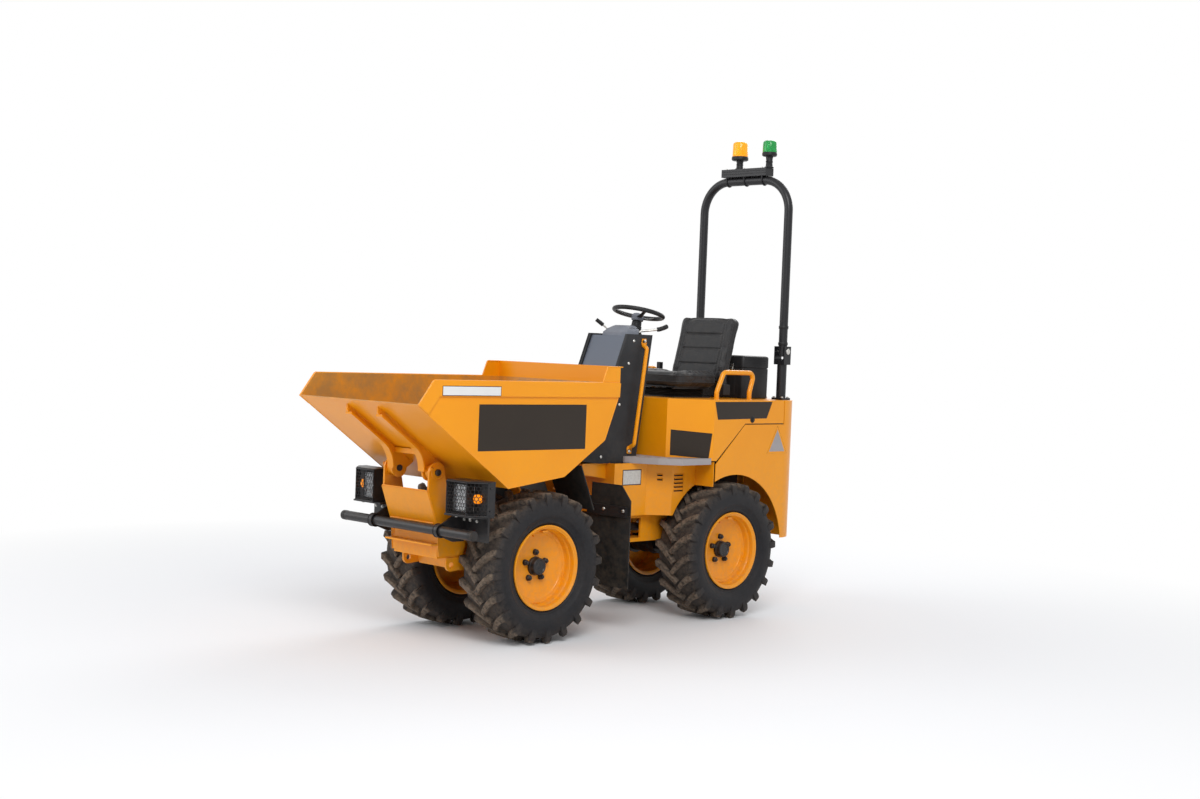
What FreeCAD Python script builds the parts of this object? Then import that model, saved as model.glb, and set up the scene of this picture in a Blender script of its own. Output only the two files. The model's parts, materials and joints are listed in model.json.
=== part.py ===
import FreeCAD, Part
import math
import os

import Sketcher

# Site dumper: a small articulated machine with a forward tipping skip.
# Millimetres. -Y is the front, +X the machine's left, +Z up. Places along Y are taken
# from the articulation pivot; each sub-part's Placement then moves it back so that the
# origin lies on the ground under the middle of the whole machine.

V = FreeCAD.Vector
DOC = FreeCAD.newDocument("SiteDumper")
SHEET = DOC.addObject("Spreadsheet::Sheet", "Dims")

# alias, value, what it is
DRIVING = [
    ("gap", 0.3, "between a piece and the seat that carries it"),
    ("running", 0.05, "radial clearance of a pin in its bore"),
    ("free_gap", 5, "between pieces that move past each other"),
    ("lip_reach", 1626, "skip lip ahead of the pivot"),
    ("tail_reach", 1250, "bulge of the tail behind the pivot"),
    # wheels
    ("axle_height", 380, "wheel centres above ground"),
    ("front_axle_reach", 741, "front wheels ahead of the pivot"),
    ("rear_axle_reach", 669, "rear wheels behind the pivot"),
    ("wheel_gauge", 620, "between the wheels' middle planes"),
    ("tyre_diameter", 760, "over the lugs"),
    ("tyre_width", 264, "over the sidewalls"),
    ("tyre_bead_width", 196, "between the beads' outer faces"),
    ("lug_depth", 24, "height of a lug over the carcass"),
    ("lug_count", 20, "lugs in each of a tyre's two rows"),
    ("lug_width", 26, "width of a lug"),
    ("lug_sweep", 103, "a lug's shoulder end behind its crown end"),
    ("rim_diameter", 400, "seat of the tyre"),
    ("rim_flange", 13, "height of the flange over the seat"),
    ("rim_width", 226, "over the flanges"),
    ("rim_wall", 7, "sheet of the wheel rim"),
    ("disc_inset", 92, "disc behind the outer flange"),
    ("disc_wall", 9, "sheet of the wheel disc"),
    ("disc_dish", 26, "the disc's edge ahead of its middle"),
    ("hub_radius", 47, "bore of the wheel disc"),
    ("hub_length", 42, "cap proud of the disc"),
    ("hub_flange_radius", 92, "flange that carries the disc"),
    ("hub_flange_wall", 14, "thickness of that flange"),
    ("stud_circle", 140, "diameter of the stud circle"),
    ("stud_radius", 9, "wheel nut"),
    ("stud_length", 24, "wheel nut proud of the disc"),
    ("stud_count", 5, "wheel nuts"),
    ("spindle_radius", 24, "shaft that carries the hub"),
    ("spindle_length", 49, "shaft beyond the motor casing"),
    ("drum_radius", 78, "wheel motor casing"),
    ("beam_half_width", 115, "axle beam between the casings"),
    ("beam_depth", 96, "axle beam, square"),
    # articulation and chassis
    ("frame_floor", 430, "underside of the rear frame"),
    ("frame_height", 150, "depth of the rear frame"),
    ("clevis_wall", 20, "upper and lower clevis plates"),
    ("clevis_radius", 60, "nose of the clevis plates"),
    ("clevis_reach", 260, "clevis plates behind the pivot"),
    ("boss_radius", 52, "front frame's pivot boss"),
    ("pivot_pin_radius", 22, "articulation pin"),
    ("pin_head", 10, "cap of the articulation pin"),
    ("rear_frame_half", 160, "half width of the rear frame"),
    ("rear_frame_front", 200, "rear frame's rails behind the pivot"),
    ("rear_frame_end", 1080, "rear frame's last cross plate"),
    ("rail_wall", 12, "plate of the frames' rails"),
    ("front_rail_half", 100, "half width of the front rails"),
    ("rail_floor", 440, "underside of the front rails"),
    ("rail_top", 560, "top of the front rails"),
    ("front_rail_end", 200, "front rails' cross plate ahead of the pivot"),
    ("neck_radius", 46, "oscillating neck of the front frame"),
    # tower and skip pivot
    ("tip_reach", 1265, "skip pivot ahead of the articulation"),
    ("tip_height", 850, "skip pivot above ground"),
    ("cheek_half", 180, "outer face of the tower's cheeks"),
    ("cheek_wall", 12, "plate of the cheeks"),
    ("ear_radius", 48, "round top of the cheeks"),
    ("tip_boss_radius", 36, "boss that carries the skip pin"),
    ("tip_pin_radius", 16, "skip pin"),
    ("tower_front_wall", 8, "folded front plate of the tower"),
    ("nose_half", 160, "half width of the box under the tower"),
    ("tie_hole_radius", 14, "tie-down eyes"),
    ("tie_wall", 12, "plate of the tie-down eyes"),
    ("tie_radius", 32, "round end of the tie-down eyes"),
    # skip
    ("skip_half", 464.5, "outer face of the skip's sides"),
    ("skip_wall", 5, "sheet of the skip"),
    ("lip_height", 1190, "skip lip above ground"),
    ("rim_top", 1305, "top of the skip's sides"),
    ("rim_front", 1538.5, "front end of the level rim"),
    ("rim_back", 318, "rear end of the level rim"),
    ("rim_band", 72, "depth of the rim band"),
    ("rim_band_wall", 9.5, "rim band proud of the side"),
    ("toe_reach", 1055, "front corner of the skip floor"),
    ("toe_height", 790, "its height"),
    ("heel_reach", 686, "rear corner of the skip floor"),
    ("heel_height", 837, "its height"),
    ("back_low_reach", 410, "lower bend of the skip's back"),
    ("back_low_height", 1015, "its height"),
    ("back_top_height", 1232, "upper bend of the skip's back"),
    ("guard_top", 1390, "top of the guard over the back"),
    ("guard_wing", 125, "guard's side wings"),
    ("rib_place", 120, "middle of the ribs from the centre"),
    ("rib_wall", 10, "web of the ribs"),
    ("rib_flange", 46, "flange along the ribs' front edge"),
    ("rib_flange_wall", 7, "its thickness"),
    ("rib_depth", 26, "ribs' depth under the sloping plate"),
    ("rib_bend", 150, "ribs' bend down to the pivot"),
    # rams
    ("ram_eye_radius", 24, "eyes of the rams"),
    ("ram_pin_radius", 12, "pins of the rams"),
    ("ram_lug_gap", 72, "between the lug plates of a ram"),
    ("ram_lug_wall", 10, "lug plates of a ram"),
    ("tip_ram_reach", 1240, "foot of the tip ram ahead of the pivot"),
    ("tip_ram_height", 650, "its height"),
    ("tip_eye_reach", 850, "head of the tip ram ahead of the pivot"),
    ("tip_eye_height", 710, "its height"),
    ("tip_barrel_radius", 27, "tip ram's barrel"),
    ("tip_barrel_end", 345, "barrel's mouth from its foot pin"),
    ("tip_rod_radius", 16, "tip ram's rod"),
    ("tip_rod_inside", 265, "rod inside the barrel at rest"),
    ("tip_rod_room", 12, "bore below the tip ram's rod at rest"),
    ("steer_foot_side", 90, "steering ram's foot to the left"),
    ("steer_foot_back", 300, "behind the pivot"),
    ("steer_head_side", 130, "steering ram's head to the left"),
    ("steer_head_front", 100, "ahead of the pivot"),
    ("steer_height", 505, "steering ram above ground"),
    ("steer_barrel_radius", 22, "steering ram's barrel"),
    ("steer_barrel_end", 240, "barrel's mouth from its foot pin"),
    ("steer_rod_radius", 11, "steering ram's rod"),
    ("steer_rod_inside", 120, "rod inside the barrel at rest"),
    ("steer_rod_room", 68, "bore below the steering ram's rod at rest"),
    # front fittings
    ("bar_radius", 24, "bumper tube"),
    ("bar_half", 510, "half length of the bumper tube"),
    ("bar_reach", 1300, "bumper tube ahead of the pivot"),
    ("bar_height", 578, "its height"),
    ("bar_bracket", 256, "bumper brackets from the centre"),
    ("bar_bracket_wall", 10, "their plate"),
    ("collar_radius", 32, "collars on the bumper tube"),
    ("lamp_end_gap", 5, "bumper tube's end past a headlamp box"),
    ("lamp_slant", 70, "headlamp box, width of the slanted face"),
    ("lamp_face", 150, "headlamp box, width of the front face"),
    ("lamp_front", 1287, "front face ahead of the pivot"),
    ("lamp_corner", 1222, "rear end of the slanted face"),
    ("lamp_back", 1172, "back of the box"),
    ("lamp_floor", 662, "underside of the box"),
    ("lamp_headroom", 46, "top of the box under the skip"),
    ("lamp_wall", 6, "sheet of the box"),
    ("lamp_recess", 24, "lamps behind the front face"),
    ("flap_reach", 200, "mudflaps ahead of the pivot"),
    ("flap_wall", 6, "rubber of the mudflaps"),
    ("flap_inner", 104, "inner edge of the mudflaps"),
    ("flap_outer", 462, "outer edge of the mudflaps"),
    ("flap_floor", 236, "lower edge of the mudflaps"),
    ("flap_step", 700, "shoulder of the mudflaps"),
    ("flap_top", 772, "top of the mudflaps"),
    # rear body
    ("body_half", 425, "outer face of the body's sides"),
    ("body_wall", 5, "sheet of the body"),
    ("body_floor", 430, "lower edge of the tail"),
    ("deck_top", 1220, "deck under the seat"),
    ("tail_corner", 150, "tail's round corners in plan"),
    ("tail_bulge", 1080, "height of the tail's bulge"),
    ("tail_lean", 40, "tail's top and foot ahead of the bulge"),
    ("arch_radius", 425, "wheel arch"),
    ("panel_gap", 6, "between the hood and the body"),
    ("platform_top", 900, "footplate"),
    ("platform_wall", 34, "depth of the footplate's edge"),
    ("platform_front", 50, "front edge behind the pivot"),
    ("platform_end", 500, "rear edge behind the pivot"),
    ("hood_front", 262, "front wall of the hood behind the pivot"),
    ("hood_front_half", 268, "half width of the hood's front wall"),
    ("hood_corner", 475, "hood's full width begins"),
    ("knee_back", 740, "bend of the hood's lower edge"),
    ("knee_height", 1086, "its height"),
    ("notch_back", 1080, "rear end of the hood beside the posts"),
    ("tongue_half", 284, "half width of the hood between the posts"),
    ("hinge_back", 1192, "hood hinge behind the pivot"),
    ("hinge_height", 1227, "hood hinge above ground"),
    ("hinge_radius", 6, "hood hinge knuckles"),
    ("housing_half", 200, "half width of the front housing"),
    ("housing_wide", 290, "half width of its rear part"),
    ("housing_front", 60, "its front ahead of the pivot"),
    ("louvre_top", 806, "upper edge of the highest louvre"),
    ("louvre_pitch", 21, "from one louvre to the next"),
    ("louvre_height", 12, "opening of a louvre"),
    ("louvre_count", 5, "louvres in the side's column"),
    ("console_half", 152, "outer face of the console's cheeks"),
    ("console_cheek", 20, "thickness of the console's cheeks"),
    ("console_floor", 864, "underside of the console"),
    ("console_top", 1562, "top of the console"),
    ("console_edge", 9, "console's cheeks proud of the rest"),
    # seat
    ("seat_half", 225, "half width of the seat"),
    ("seat_front", 400, "front of the cushion behind the pivot"),
    ("seat_floor", 1284, "underside of the cushion"),
    ("seat_height", 86, "thickness of the cushion"),
    ("seat_length", 370, "depth of the cushion"),
    ("toolbox_half", 236, "half width of the toolbox"),
    ("toolbox_front", 930, "toolbox behind the pivot"),
    ("toolbox_length", 238, "its depth"),
    ("toolbox_height", 250, "its height"),
    ("rail_radius", 13.5, "deck grab rails"),
    ("rail_side", 372, "deck grab rails from the centre"),
    # rollover bar
    ("post_side", 324, "posts from the centre"),
    ("post_back", 1170, "posts behind the pivot"),
    ("post_radius", 28, "lower posts"),
    ("fold_height", 1500, "fold pin above ground"),
    ("hoop_radius", 25, "hoop tube"),
    ("hoop_top", 2500, "middle of the hoop's crown"),
    ("hoop_bend", 185, "bends of the hoop"),
    ("fold_pin_radius", 9, "fold pins"),
    ("strut_radius", 9, "struts behind the posts"),
    ("beacon_height", 2572, "top of the beacon plate"),
    # steering wheel
    ("wheel_back", 286, "steering wheel behind the pivot"),
    ("wheel_height", 1683, "steering wheel's rim above ground"),
    ("wheel_radius", 150, "steering wheel"),
    ("wheel_grip", 13, "rim of the steering wheel"),
    ("wheel_lean", 12, "lean of the steering column, degrees"),
]

for row, (alias, amount, meaning) in enumerate(DRIVING, start=1):
    SHEET.set(f"A{row}", meaning)
    SHEET.set(f"B{row}", str(amount))
    SHEET.setAlias(f"B{row}", alias)
DOC.recompute()


class Size:
    """A length held both as a number and as an expression of the sheet's cells."""

    def __init__(self, text, value):
        self.text = text
        self.value = value

    @staticmethod
    def of(other):
        return other if isinstance(other, Size) else Size(repr(float(other)), float(other))

    def _join(self, sign, other, value):
        return Size(f"({self.text} {sign} {Size.of(other).text})", value)

    def __add__(self, other):
        return self._join("+", other, self.value + Size.of(other).value)

    def __sub__(self, other):
        return self._join("-", other, self.value - Size.of(other).value)

    def __mul__(self, other):
        return self._join("*", other, self.value * Size.of(other).value)

    def __truediv__(self, other):
        return self._join("/", other, self.value / Size.of(other).value)

    def __radd__(self, other):
        return Size.of(other) + self

    def __rsub__(self, other):
        return Size.of(other) - self

    def __rmul__(self, other):
        return Size.of(other) * self

    def __neg__(self):
        return Size(f"(0 - {self.text})", -self.value)

    def __float__(self):
        return float(self.value)


class Cells:
    """The driving dimensions by name."""

    def __init__(self, rows):
        for alias, amount, _ in rows:
            setattr(self, alias, Size(f"Dims.{alias}", float(amount)))


def least(first, second):
    """The smaller of two sizes, still tied to the sheet."""
    first, second = Size.of(first), Size.of(second)
    return Size(f"min({first.text}; {second.text})", min(first.value, second.value))


def most(first, second):
    """The larger of two sizes, still tied to the sheet."""
    first, second = Size.of(first), Size.of(second)
    return Size(f"max({first.text}; {second.text})", max(first.value, second.value))


D = Cells(DRIVING)
D.lamp_outer = D.bar_half - D.lamp_end_gap
D.lamp_bend = D.lamp_outer - D.lamp_slant
D.lamp_inner = D.lamp_bend - D.lamp_face
SHIFT = (D.lip_reach - D.tail_reach) / 2
NODES = []


def add(kind, label):
    made = DOC.addObject(kind, label)
    made.Label = label
    return made


def bind(target, prop, size):
    """Set a property from a Size and keep it tied to the sheet."""
    size = Size.of(size)
    holder, _, rest = prop.partition(".")
    if not rest:
        setattr(target, prop, size.value)
    target.setExpression(prop, size.text)


SPOTS = {}


def place(target, x=0, y=0, z=0):
    """Move an object, keeping its place tied to the sheet."""
    SPOTS[target.Name] = (x, y, z)
    target.Placement = FreeCAD.Placement(V(float(x), float(y), float(z)), target.Placement.Rotation)
    for axis, size in (("x", x), ("y", y), ("z", z)):
        target.setExpression(f"Placement.Base.{axis}", Size.of(size).text)
    return target


def sketch_on(body, plane, start=0):
    """A sketch on one of the body's own planes, start along the plane's world axis."""
    sketch = body.newObject("Sketcher::SketchObject", "Sketch")
    base = next(item for item in body.Origin.OriginFeatures if item.Role == plane)
    sketch.AttachmentSupport = [(base, "")]
    sketch.MapMode = "FlatFace"
    lift = -Size.of(start) if plane == "XZ_Plane" else Size.of(start)
    sketch.AttachmentOffset = FreeCAD.Placement(V(0, 0, lift.value), FreeCAD.Rotation())
    sketch.setExpression("AttachmentOffset.Base.z", lift.text)
    return sketch


def tie(sketch, shape_index, point_index, spot):
    """Hold a sketch point at a place given by the sheet."""
    for kind, size in (("DistanceX", spot[0]), ("DistanceY", spot[1])):
        size = Size.of(size)
        rule = Sketcher.Constraint(kind, -1, 1, shape_index, point_index, size.value)
        number = sketch.addConstraint(rule)
        sketch.setExpression(f"Constraints[{number}]", size.text)


def polygon(sketch, corners):
    """A closed outline through corners, each of them tied to the sheet."""
    spots = [V(float(x), float(y), 0) for x, y in corners]
    first = sketch.GeometryCount
    count = len(spots)
    for index, spot in enumerate(spots):
        sketch.addGeometry(Part.LineSegment(spot, spots[(index + 1) % count]), False)
    for index in range(count):
        after = first + (index + 1) % count
        sketch.addConstraint(Sketcher.Constraint("Coincident", first + index, 2, after, 1))
    for index, corner in enumerate(corners):
        tie(sketch, first + index, 1, corner)


def ring(sketch, x, y, radius):
    """A circle in a sketch, its centre and radius tied to the sheet."""
    centre = V(float(x), float(y), 0)
    index = sketch.addGeometry(Part.Circle(centre, V(0, 0, 1), float(radius)), False)
    tie(sketch, index, 3, (x, y))
    number = sketch.addConstraint(Sketcher.Constraint("Radius", index, float(radius)))
    sketch.setExpression(f"Constraints[{number}]", Size.of(radius).text)


def curved(sketch, start, steps):
    """A closed outline of lines and three-point arcs: a step is (end) or (middle, end)."""
    here = V(float(start[0]), float(start[1]), 0)
    for step in steps:
        spots = [V(float(x), float(y), 0) for x, y in step]
        if len(spots) == 1:
            sketch.addGeometry(Part.LineSegment(here, spots[0]), False)
        else:
            sketch.addGeometry(Part.Arc(here, spots[0], spots[1]), False)
        here = spots[-1]


def extrude(body, sketch, length, plane):
    pad = body.newObject("PartDesign::Pad", "Pad")
    pad.Profile = sketch
    bind(pad, "Length", length)
    pad.Reversed = plane == "XZ_Plane"
    sketch.Visibility = False
    return pad


def plate(label, plane, corners, start, wall, holes=()):
    """A flat plate from an outline in a world plane, start to start + wall along its axis."""
    body = add("PartDesign::Body", label)
    sketch = sketch_on(body, plane, start)
    polygon(sketch, corners)
    for x, y, radius in holes:
        ring(sketch, x, y, radius)
    extrude(body, sketch, wall, plane)
    return body


def curved_plate(label, plane, start_spot, steps, start, wall, holes=()):
    """As plate, with arcs in its outline."""
    body = add("PartDesign::Body", label)
    sketch = sketch_on(body, plane, start)
    curved(sketch, start_spot, steps)
    for x, y, radius in holes:
        ring(sketch, x, y, radius)
    extrude(body, sketch, wall, plane)
    return body


def turned(label, corners):
    """A solid of revolution about the X axis, from an outline of (x, radius) corners."""
    body = add("PartDesign::Body", label)
    sketch = sketch_on(body, "XY_Plane")
    polygon(sketch, corners)
    spin = body.newObject("PartDesign::Revolution", "Revolution")
    spin.Profile = sketch
    spin.ReferenceAxis = (sketch, ["H_Axis"])
    spin.Angle = 360
    return body


def block(label, low, high):
    """A box between two corners."""
    made = add("Part::Box", label)
    for prop, first, last in zip(("Length", "Width", "Height"), low, high):
        bind(made, prop, Size.of(last) - first)
    return place(made, *low)


AXES = {
    "X": FreeCAD.Rotation(V(0, 1, 0), 90),
    "Y": FreeCAD.Rotation(V(1, 0, 0), -90),
    "Z": FreeCAD.Rotation(),
}


def cylinder(label, axis, start, radius, length):
    """A round bar along a world axis, from its start point."""
    made = add("Part::Cylinder", label)
    bind(made, "Radius", radius)
    bind(made, "Height", length)
    made.Placement = FreeCAD.Placement(V(), AXES[axis])
    return place(made, *start)


def fused(label, pieces):
    made = add("Part::MultiFuse", label)
    made.Shapes = list(pieces)
    return made


def cut(label, base, *tools):
    made = add("Part::Cut", label)
    made.Base = base
    made.Tool = tools[0] if len(tools) == 1 else fused(f"{label}_tools", tools)
    return made


def common(label, first, second):
    made = add("Part::MultiCommon", label)
    made.Shapes = [first, second]
    return made


def mirrored(label, source):
    """The same piece on the machine's other side."""
    made = add("Part::Mirroring", label)
    made.Source = source
    made.Normal = V(1, 0, 0)
    return made


def pair(source):
    return [source, mirrored(f"{source.Label}_right", source)]


def group(label, pieces):
    """Separate solids that share a sub-part."""
    made = add("Part::Compound", label)
    made.Links = list(pieces)
    return made


def node(made, x=0, y=0, z=0):
    """Register a finished sub-part and move it into the machine's own frame."""
    start = SPOTS.get(made.Name, (0, 0, 0))
    place(made, Size.of(start[0]) + x, SHIFT + start[1] + y, Size.of(start[2]) + z)
    NODES.append(made)
    return made


def tube(label, corners, radius, bend):
    """A bent round bar through 3-D corners, with arcs of radius bend at the inner ones."""
    spots = [V(*[float(part) for part in corner]) for corner in corners]
    here = spots[0]
    edges = []
    for before, spot, after in zip(spots, spots[1:], spots[2:]):
        inward = (before - spot).normalize()
        onward = (after - spot).normalize()
        half = inward.getAngle(onward) / 2
        setback = float(bend) / math.tan(half)
        enter = spot + inward * setback
        leave = spot + onward * setback
        middle_line = (inward + onward).normalize()
        middle = spot + middle_line * (float(bend) / math.sin(half) - float(bend))
        edges.append(Part.LineSegment(here, enter).toShape())
        edges.append(Part.Arc(enter, middle, leave).toShape())
        here = leave
    edges.append(Part.LineSegment(here, spots[-1]).toShape())
    path = Part.Wire(edges)
    circle = Part.Wire([Part.Circle(spots[0], spots[1] - spots[0], float(radius)).toShape()])
    made = add("Part::Feature", label)
    made.Shape = Part.makeSolid(path.makePipeShell([circle], True, False))
    return made


# Wheels

WHEELS = [
    # name, side, place along Y
    ("front_left", 1, -D.front_axle_reach),
    ("front_right", -1, -D.front_axle_reach),
    ("rear_left", 1, D.rear_axle_reach),
    ("rear_right", -1, D.rear_axle_reach),
]


def tyre_shape():
    """Carcass with two rows of staggered oblique lugs, about the X axis."""
    tip = D.tyre_diameter / 2
    seat = D.rim_diameter / 2 + D.gap
    carcass = tip - D.lug_depth
    half = D.tyre_width / 2
    bead = D.tyre_bead_width / 2
    # place across, radius: bead, bulge of the sidewall, shoulder, crown
    over_flange = D.rim_diameter / 2 + D.rim_flange + 3
    right = [(bead, seat), (bead, over_flange), (half, (seat + tip) / 2), (half - 6, carcass - 28),
             (half - 30, carcass - 4)]
    body = turned("tyre_carcass", right + [(-across, radius) for across, radius in reversed(right)])
    # what the lugs' tops reach
    edge = half - 0.1
    foot = (seat + tip) / 2 + 10
    right = [(edge, foot), (edge, tip - 50), (edge - 4, tip - 16), (edge - 14, tip - 4.5), (edge - 72, tip)]
    reach = turned("lug_reach", right + [(-across, radius) for across, radius in reversed(right)])
    DOC.recompute()
    reach_shape, shape = reach.Shape, body.Shape.copy()
    wide, sweep = float(D.lug_width) / 2, float(D.lug_sweep)
    middle = (float(edge) * 0.43, sweep * 0.62)
    # plan of a lug at the wheel's top, leading edge then trailing edge
    plan = [(0.5, -0.7 * wide), (middle[0] + 0.6 * wide, middle[1] - 0.85 * wide), (float(edge) + 5, sweep - 1.35 * wide),
            (float(edge) + 5, sweep + 1.45 * wide), (middle[0] - 0.6 * wide, middle[1] + 0.85 * wide),
            (-1.3 * wide, 0.65 * wide)]
    low, count = float(foot), int(D.lug_count.value)
    outline = Part.makePolygon([V(x, y, low) for x, y in plan + plan[:1]])
    lug = Part.Face(outline).extrude(V(0, 0, float(tip) + 5 - low)).common(reach_shape)
    other = lug.mirror(V(), V(1, 0, 0))
    other.rotate(V(), V(1, 0, 0), 180 / count)
    lugs = []
    for number in range(count):
        for source in (lug, other):
            turned_lug = source.copy()
            turned_lug.rotate(V(), V(1, 0, 0), number * 360 / count)
            lugs.append(turned_lug)
    return shape.multiFuse(lugs)


def tyre(name, side, along, shape):
    made = add("Part::Feature", f"tyre_{name}")
    made.Shape = shape
    return node(made, side * D.wheel_gauge / 2, along, D.axle_height)


def rim(name, side, along):
    half = D.rim_width / 2
    seat = D.rim_diameter / 2
    flange = seat + D.rim_flange
    inner = seat - D.rim_wall
    barrel_end = D.tyre_bead_width / 2 + D.gap
    barrel = turned(f"rim_barrel_{name}", [
        (-half, inner), (half, inner), (half, flange), (barrel_end, flange), (barrel_end, seat),
        (-barrel_end, seat), (-barrel_end, flange), (-half, flange)])
    face = half - D.disc_inset
    disc = turned(f"rim_disc_{name}", [
        (face, D.hub_radius), (face, D.hub_flange_radius), (face + D.disc_dish, inner),
        (face + D.disc_dish - D.disc_wall, inner), (face - D.disc_wall, D.hub_flange_radius),
        (face - D.disc_wall, D.hub_radius)])
    whole = fused(f"rim_whole_{name}", [barrel, disc])
    holes = []
    for turn in range(int(D.stud_count.value)):
        angle = math.radians(90 + turn * 360 / D.stud_count.value)
        holes.append(cylinder(
            f"rim_hole_{name}_{turn}", "X",
            (face - D.disc_wall * 2, D.stud_circle / 2 * math.cos(angle),
             D.stud_circle / 2 * math.sin(angle)), D.stud_radius + D.gap, D.disc_wall * 3))
    drilled = cut(f"rim_drilled_{name}", whole, *holes)
    made = turn_outward(f"rim_{name}", drilled, side)
    return node(made, side * D.wheel_gauge / 2, along, D.axle_height)


def turn_outward(label, piece, side):
    """A wheel piece as it stands on the left, or mirrored for the right."""
    if side > 0:
        piece.Label = label
        return piece
    return mirrored(label, piece)


def hub(name, side, along):
    face = D.rim_width / 2 - D.disc_inset
    back = face - D.disc_wall - D.gap
    bore = D.spindle_radius + D.running
    bore_end = back + D.spindle_length - D.free_gap + 3
    cap = face + D.hub_length
    body = turned(f"hub_body_{name}", [
        (back - D.hub_flange_wall, bore), (bore_end, bore), (bore_end, 0), (cap, 0),
        (cap, D.hub_radius - 10), (cap - 8, D.hub_radius - 2), (face - D.disc_wall, D.hub_radius - D.gap),
        (back, D.hub_radius - D.gap), (back, D.hub_flange_radius),
        (back - D.hub_flange_wall, D.hub_flange_radius)])
    studs = []
    for turn in range(int(D.stud_count.value)):
        angle = math.radians(90 + turn * 360 / D.stud_count.value)
        studs.append(cylinder(
            f"stud_{name}_{turn}", "X",
            (back - 1, D.stud_circle / 2 * math.cos(angle), D.stud_circle / 2 * math.sin(angle)),
            D.stud_radius, face + D.stud_length - back + 1))
    whole = fused(f"hub_whole_{name}", [body] + studs)
    made = turn_outward(f"hub_{name}", whole, side)
    return node(made, side * D.wheel_gauge / 2, along, D.axle_height)


def axle(label, along, seat):
    """Beam, wheel motor casings and spindles, with blocks up to the rails where seat says so."""
    half = D.beam_depth / 2
    low = D.axle_height - half
    high = D.axle_height + half
    disc_back = D.wheel_gauge / 2 + D.rim_width / 2 - D.disc_inset - D.disc_wall - D.gap
    casing_end = disc_back - D.hub_flange_wall - D.free_gap
    beam = block(f"{label}_beam", (-D.beam_half_width, along - half, low),
                 (D.beam_half_width, along + half, high))
    casing = cylinder(f"{label}_casing", "X", (D.beam_half_width - 1, along, D.axle_height),
                      D.drum_radius, casing_end - D.beam_half_width + 1)
    spindle = cylinder(f"{label}_spindle", "X", (casing_end - 1, along, D.axle_height),
                       D.spindle_radius, D.spindle_length + 1)
    pieces = [beam] + pair(casing) + pair(spindle)
    if seat is not None:
        pieces += pair(block(f"{label}_saddle", (D.front_rail_half - 30, along - half, high - 1),
                             (D.front_rail_half, along + half, seat)))
    return node(fused(label, pieces))


# Front chassis

def plate_line(along, under=0):
    """Height of the skip's sloping front plate at a place along Y, less under."""
    slope = (D.lip_height - D.toe_height) / (D.lip_reach - D.toe_reach)
    return D.lip_height - slope * (along + D.lip_reach) - under


def floor_line(along):
    """Height of the skip's floor at a place along Y."""
    rise = (D.heel_height - D.toe_height) / (D.toe_reach - D.heel_reach)
    return D.toe_height + rise * (along + D.toe_reach)


D.lamp_top = most(plate_line(-D.lamp_back), floor_line(-D.lamp_back)) - D.lamp_headroom


def skip_tower():
    """Cheeks with their bosses, folded front plate, shelf, floor, box and tie-down eyes."""
    inner = D.cheek_half - D.cheek_wall
    within = inner - D.gap
    y, z = -D.tip_reach, D.tip_height
    ear = D.ear_radius
    cheek = plate("cheek", "YZ_Plane", [
        (-1238, D.rail_floor), (-1252, 596), (y - ear, 758), (y - ear, z), (y + ear, z),
        (y + ear + 34, 700), (-1060, 560), (-D.front_axle_reach - 343, D.rail_floor)], inner, D.cheek_wall)
    crown = cylinder("cheek_crown", "X", (inner, y, z), ear, D.cheek_wall)
    boss_start = D.rib_place + D.rib_wall / 2 + D.free_gap
    boss = cylinder("tip_boss", "X", (boss_start, y, z), D.tip_boss_radius, D.cheek_half + 3 - boss_start)
    bore = cylinder("tip_bore", "X", (boss_start - 2, y, z), D.tip_pin_radius + D.running, 90)
    side = cut("tower_side", fused("tower_side_whole", [cheek, crown, boss]), bore)
    wall, off = D.tower_front_wall, D.gap + 0.1
    front = plate("tower_front", "YZ_Plane", [
        (-1252 - off, 596), (y - ear - off, 758), (y - ear - wall - off, 758), (-1252 - wall - off, 594)],
        -D.cheek_half, D.cheek_half * 2)
    lip = block("tower_lip", (-D.cheek_half, -1288, 494), (D.cheek_half, -1244, 502))
    deck = block("tower_shelf", (-within, -1251, 588), (within, -1170, 600))
    foot_y, foot_z = -D.tip_ram_reach, D.tip_ram_height
    foot_lug = ram_lug("ram_foot_lug", foot_y, foot_z, [
        (foot_y - 10, foot_z), (foot_y - 10, 599), (foot_y + 50, 599), (foot_y + 26, foot_z)])
    shelf = fused("tower_shelf_whole", [deck] + pair(foot_lug))
    floor_top = D.rail_floor - D.gap
    floor = block("tower_floor", (-within, -1238, floor_top - 12), (within, -1000, floor_top))
    under = floor_top - 12 - D.gap
    nose = plate("tower_nose", "YZ_Plane", [(-1106, under), (-1080, 360), (-1000, 360), (-1000, under)],
                 -D.nose_half, D.nose_half * 2)
    eyes = pair(tie_down("tie_down", -1150, 392, -1010, under))
    return node(group("skip_tower", pair(side) + [front, lip, shelf, floor, nose] + eyes))


def tie_down(label, along, height, reach, top):
    """A rounded plate with an eye, beside the box under the tower."""
    start = D.nose_half + D.gap
    tail = plate(f"{label}_plate", "YZ_Plane", [
        (along - D.tie_radius, height), (along - D.tie_radius, top), (reach, top), (reach, 372),
        (along, height - D.tie_radius)], start, D.tie_wall)
    head = cylinder(f"{label}_head", "X", (start, along, height), D.tie_radius, D.tie_wall)
    eye = cylinder(f"{label}_eye", "X", (start - 1, along, height), D.tie_hole_radius, D.tie_wall + 2)
    return cut(label, fused(f"{label}_whole", [tail, head]), eye)


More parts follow.
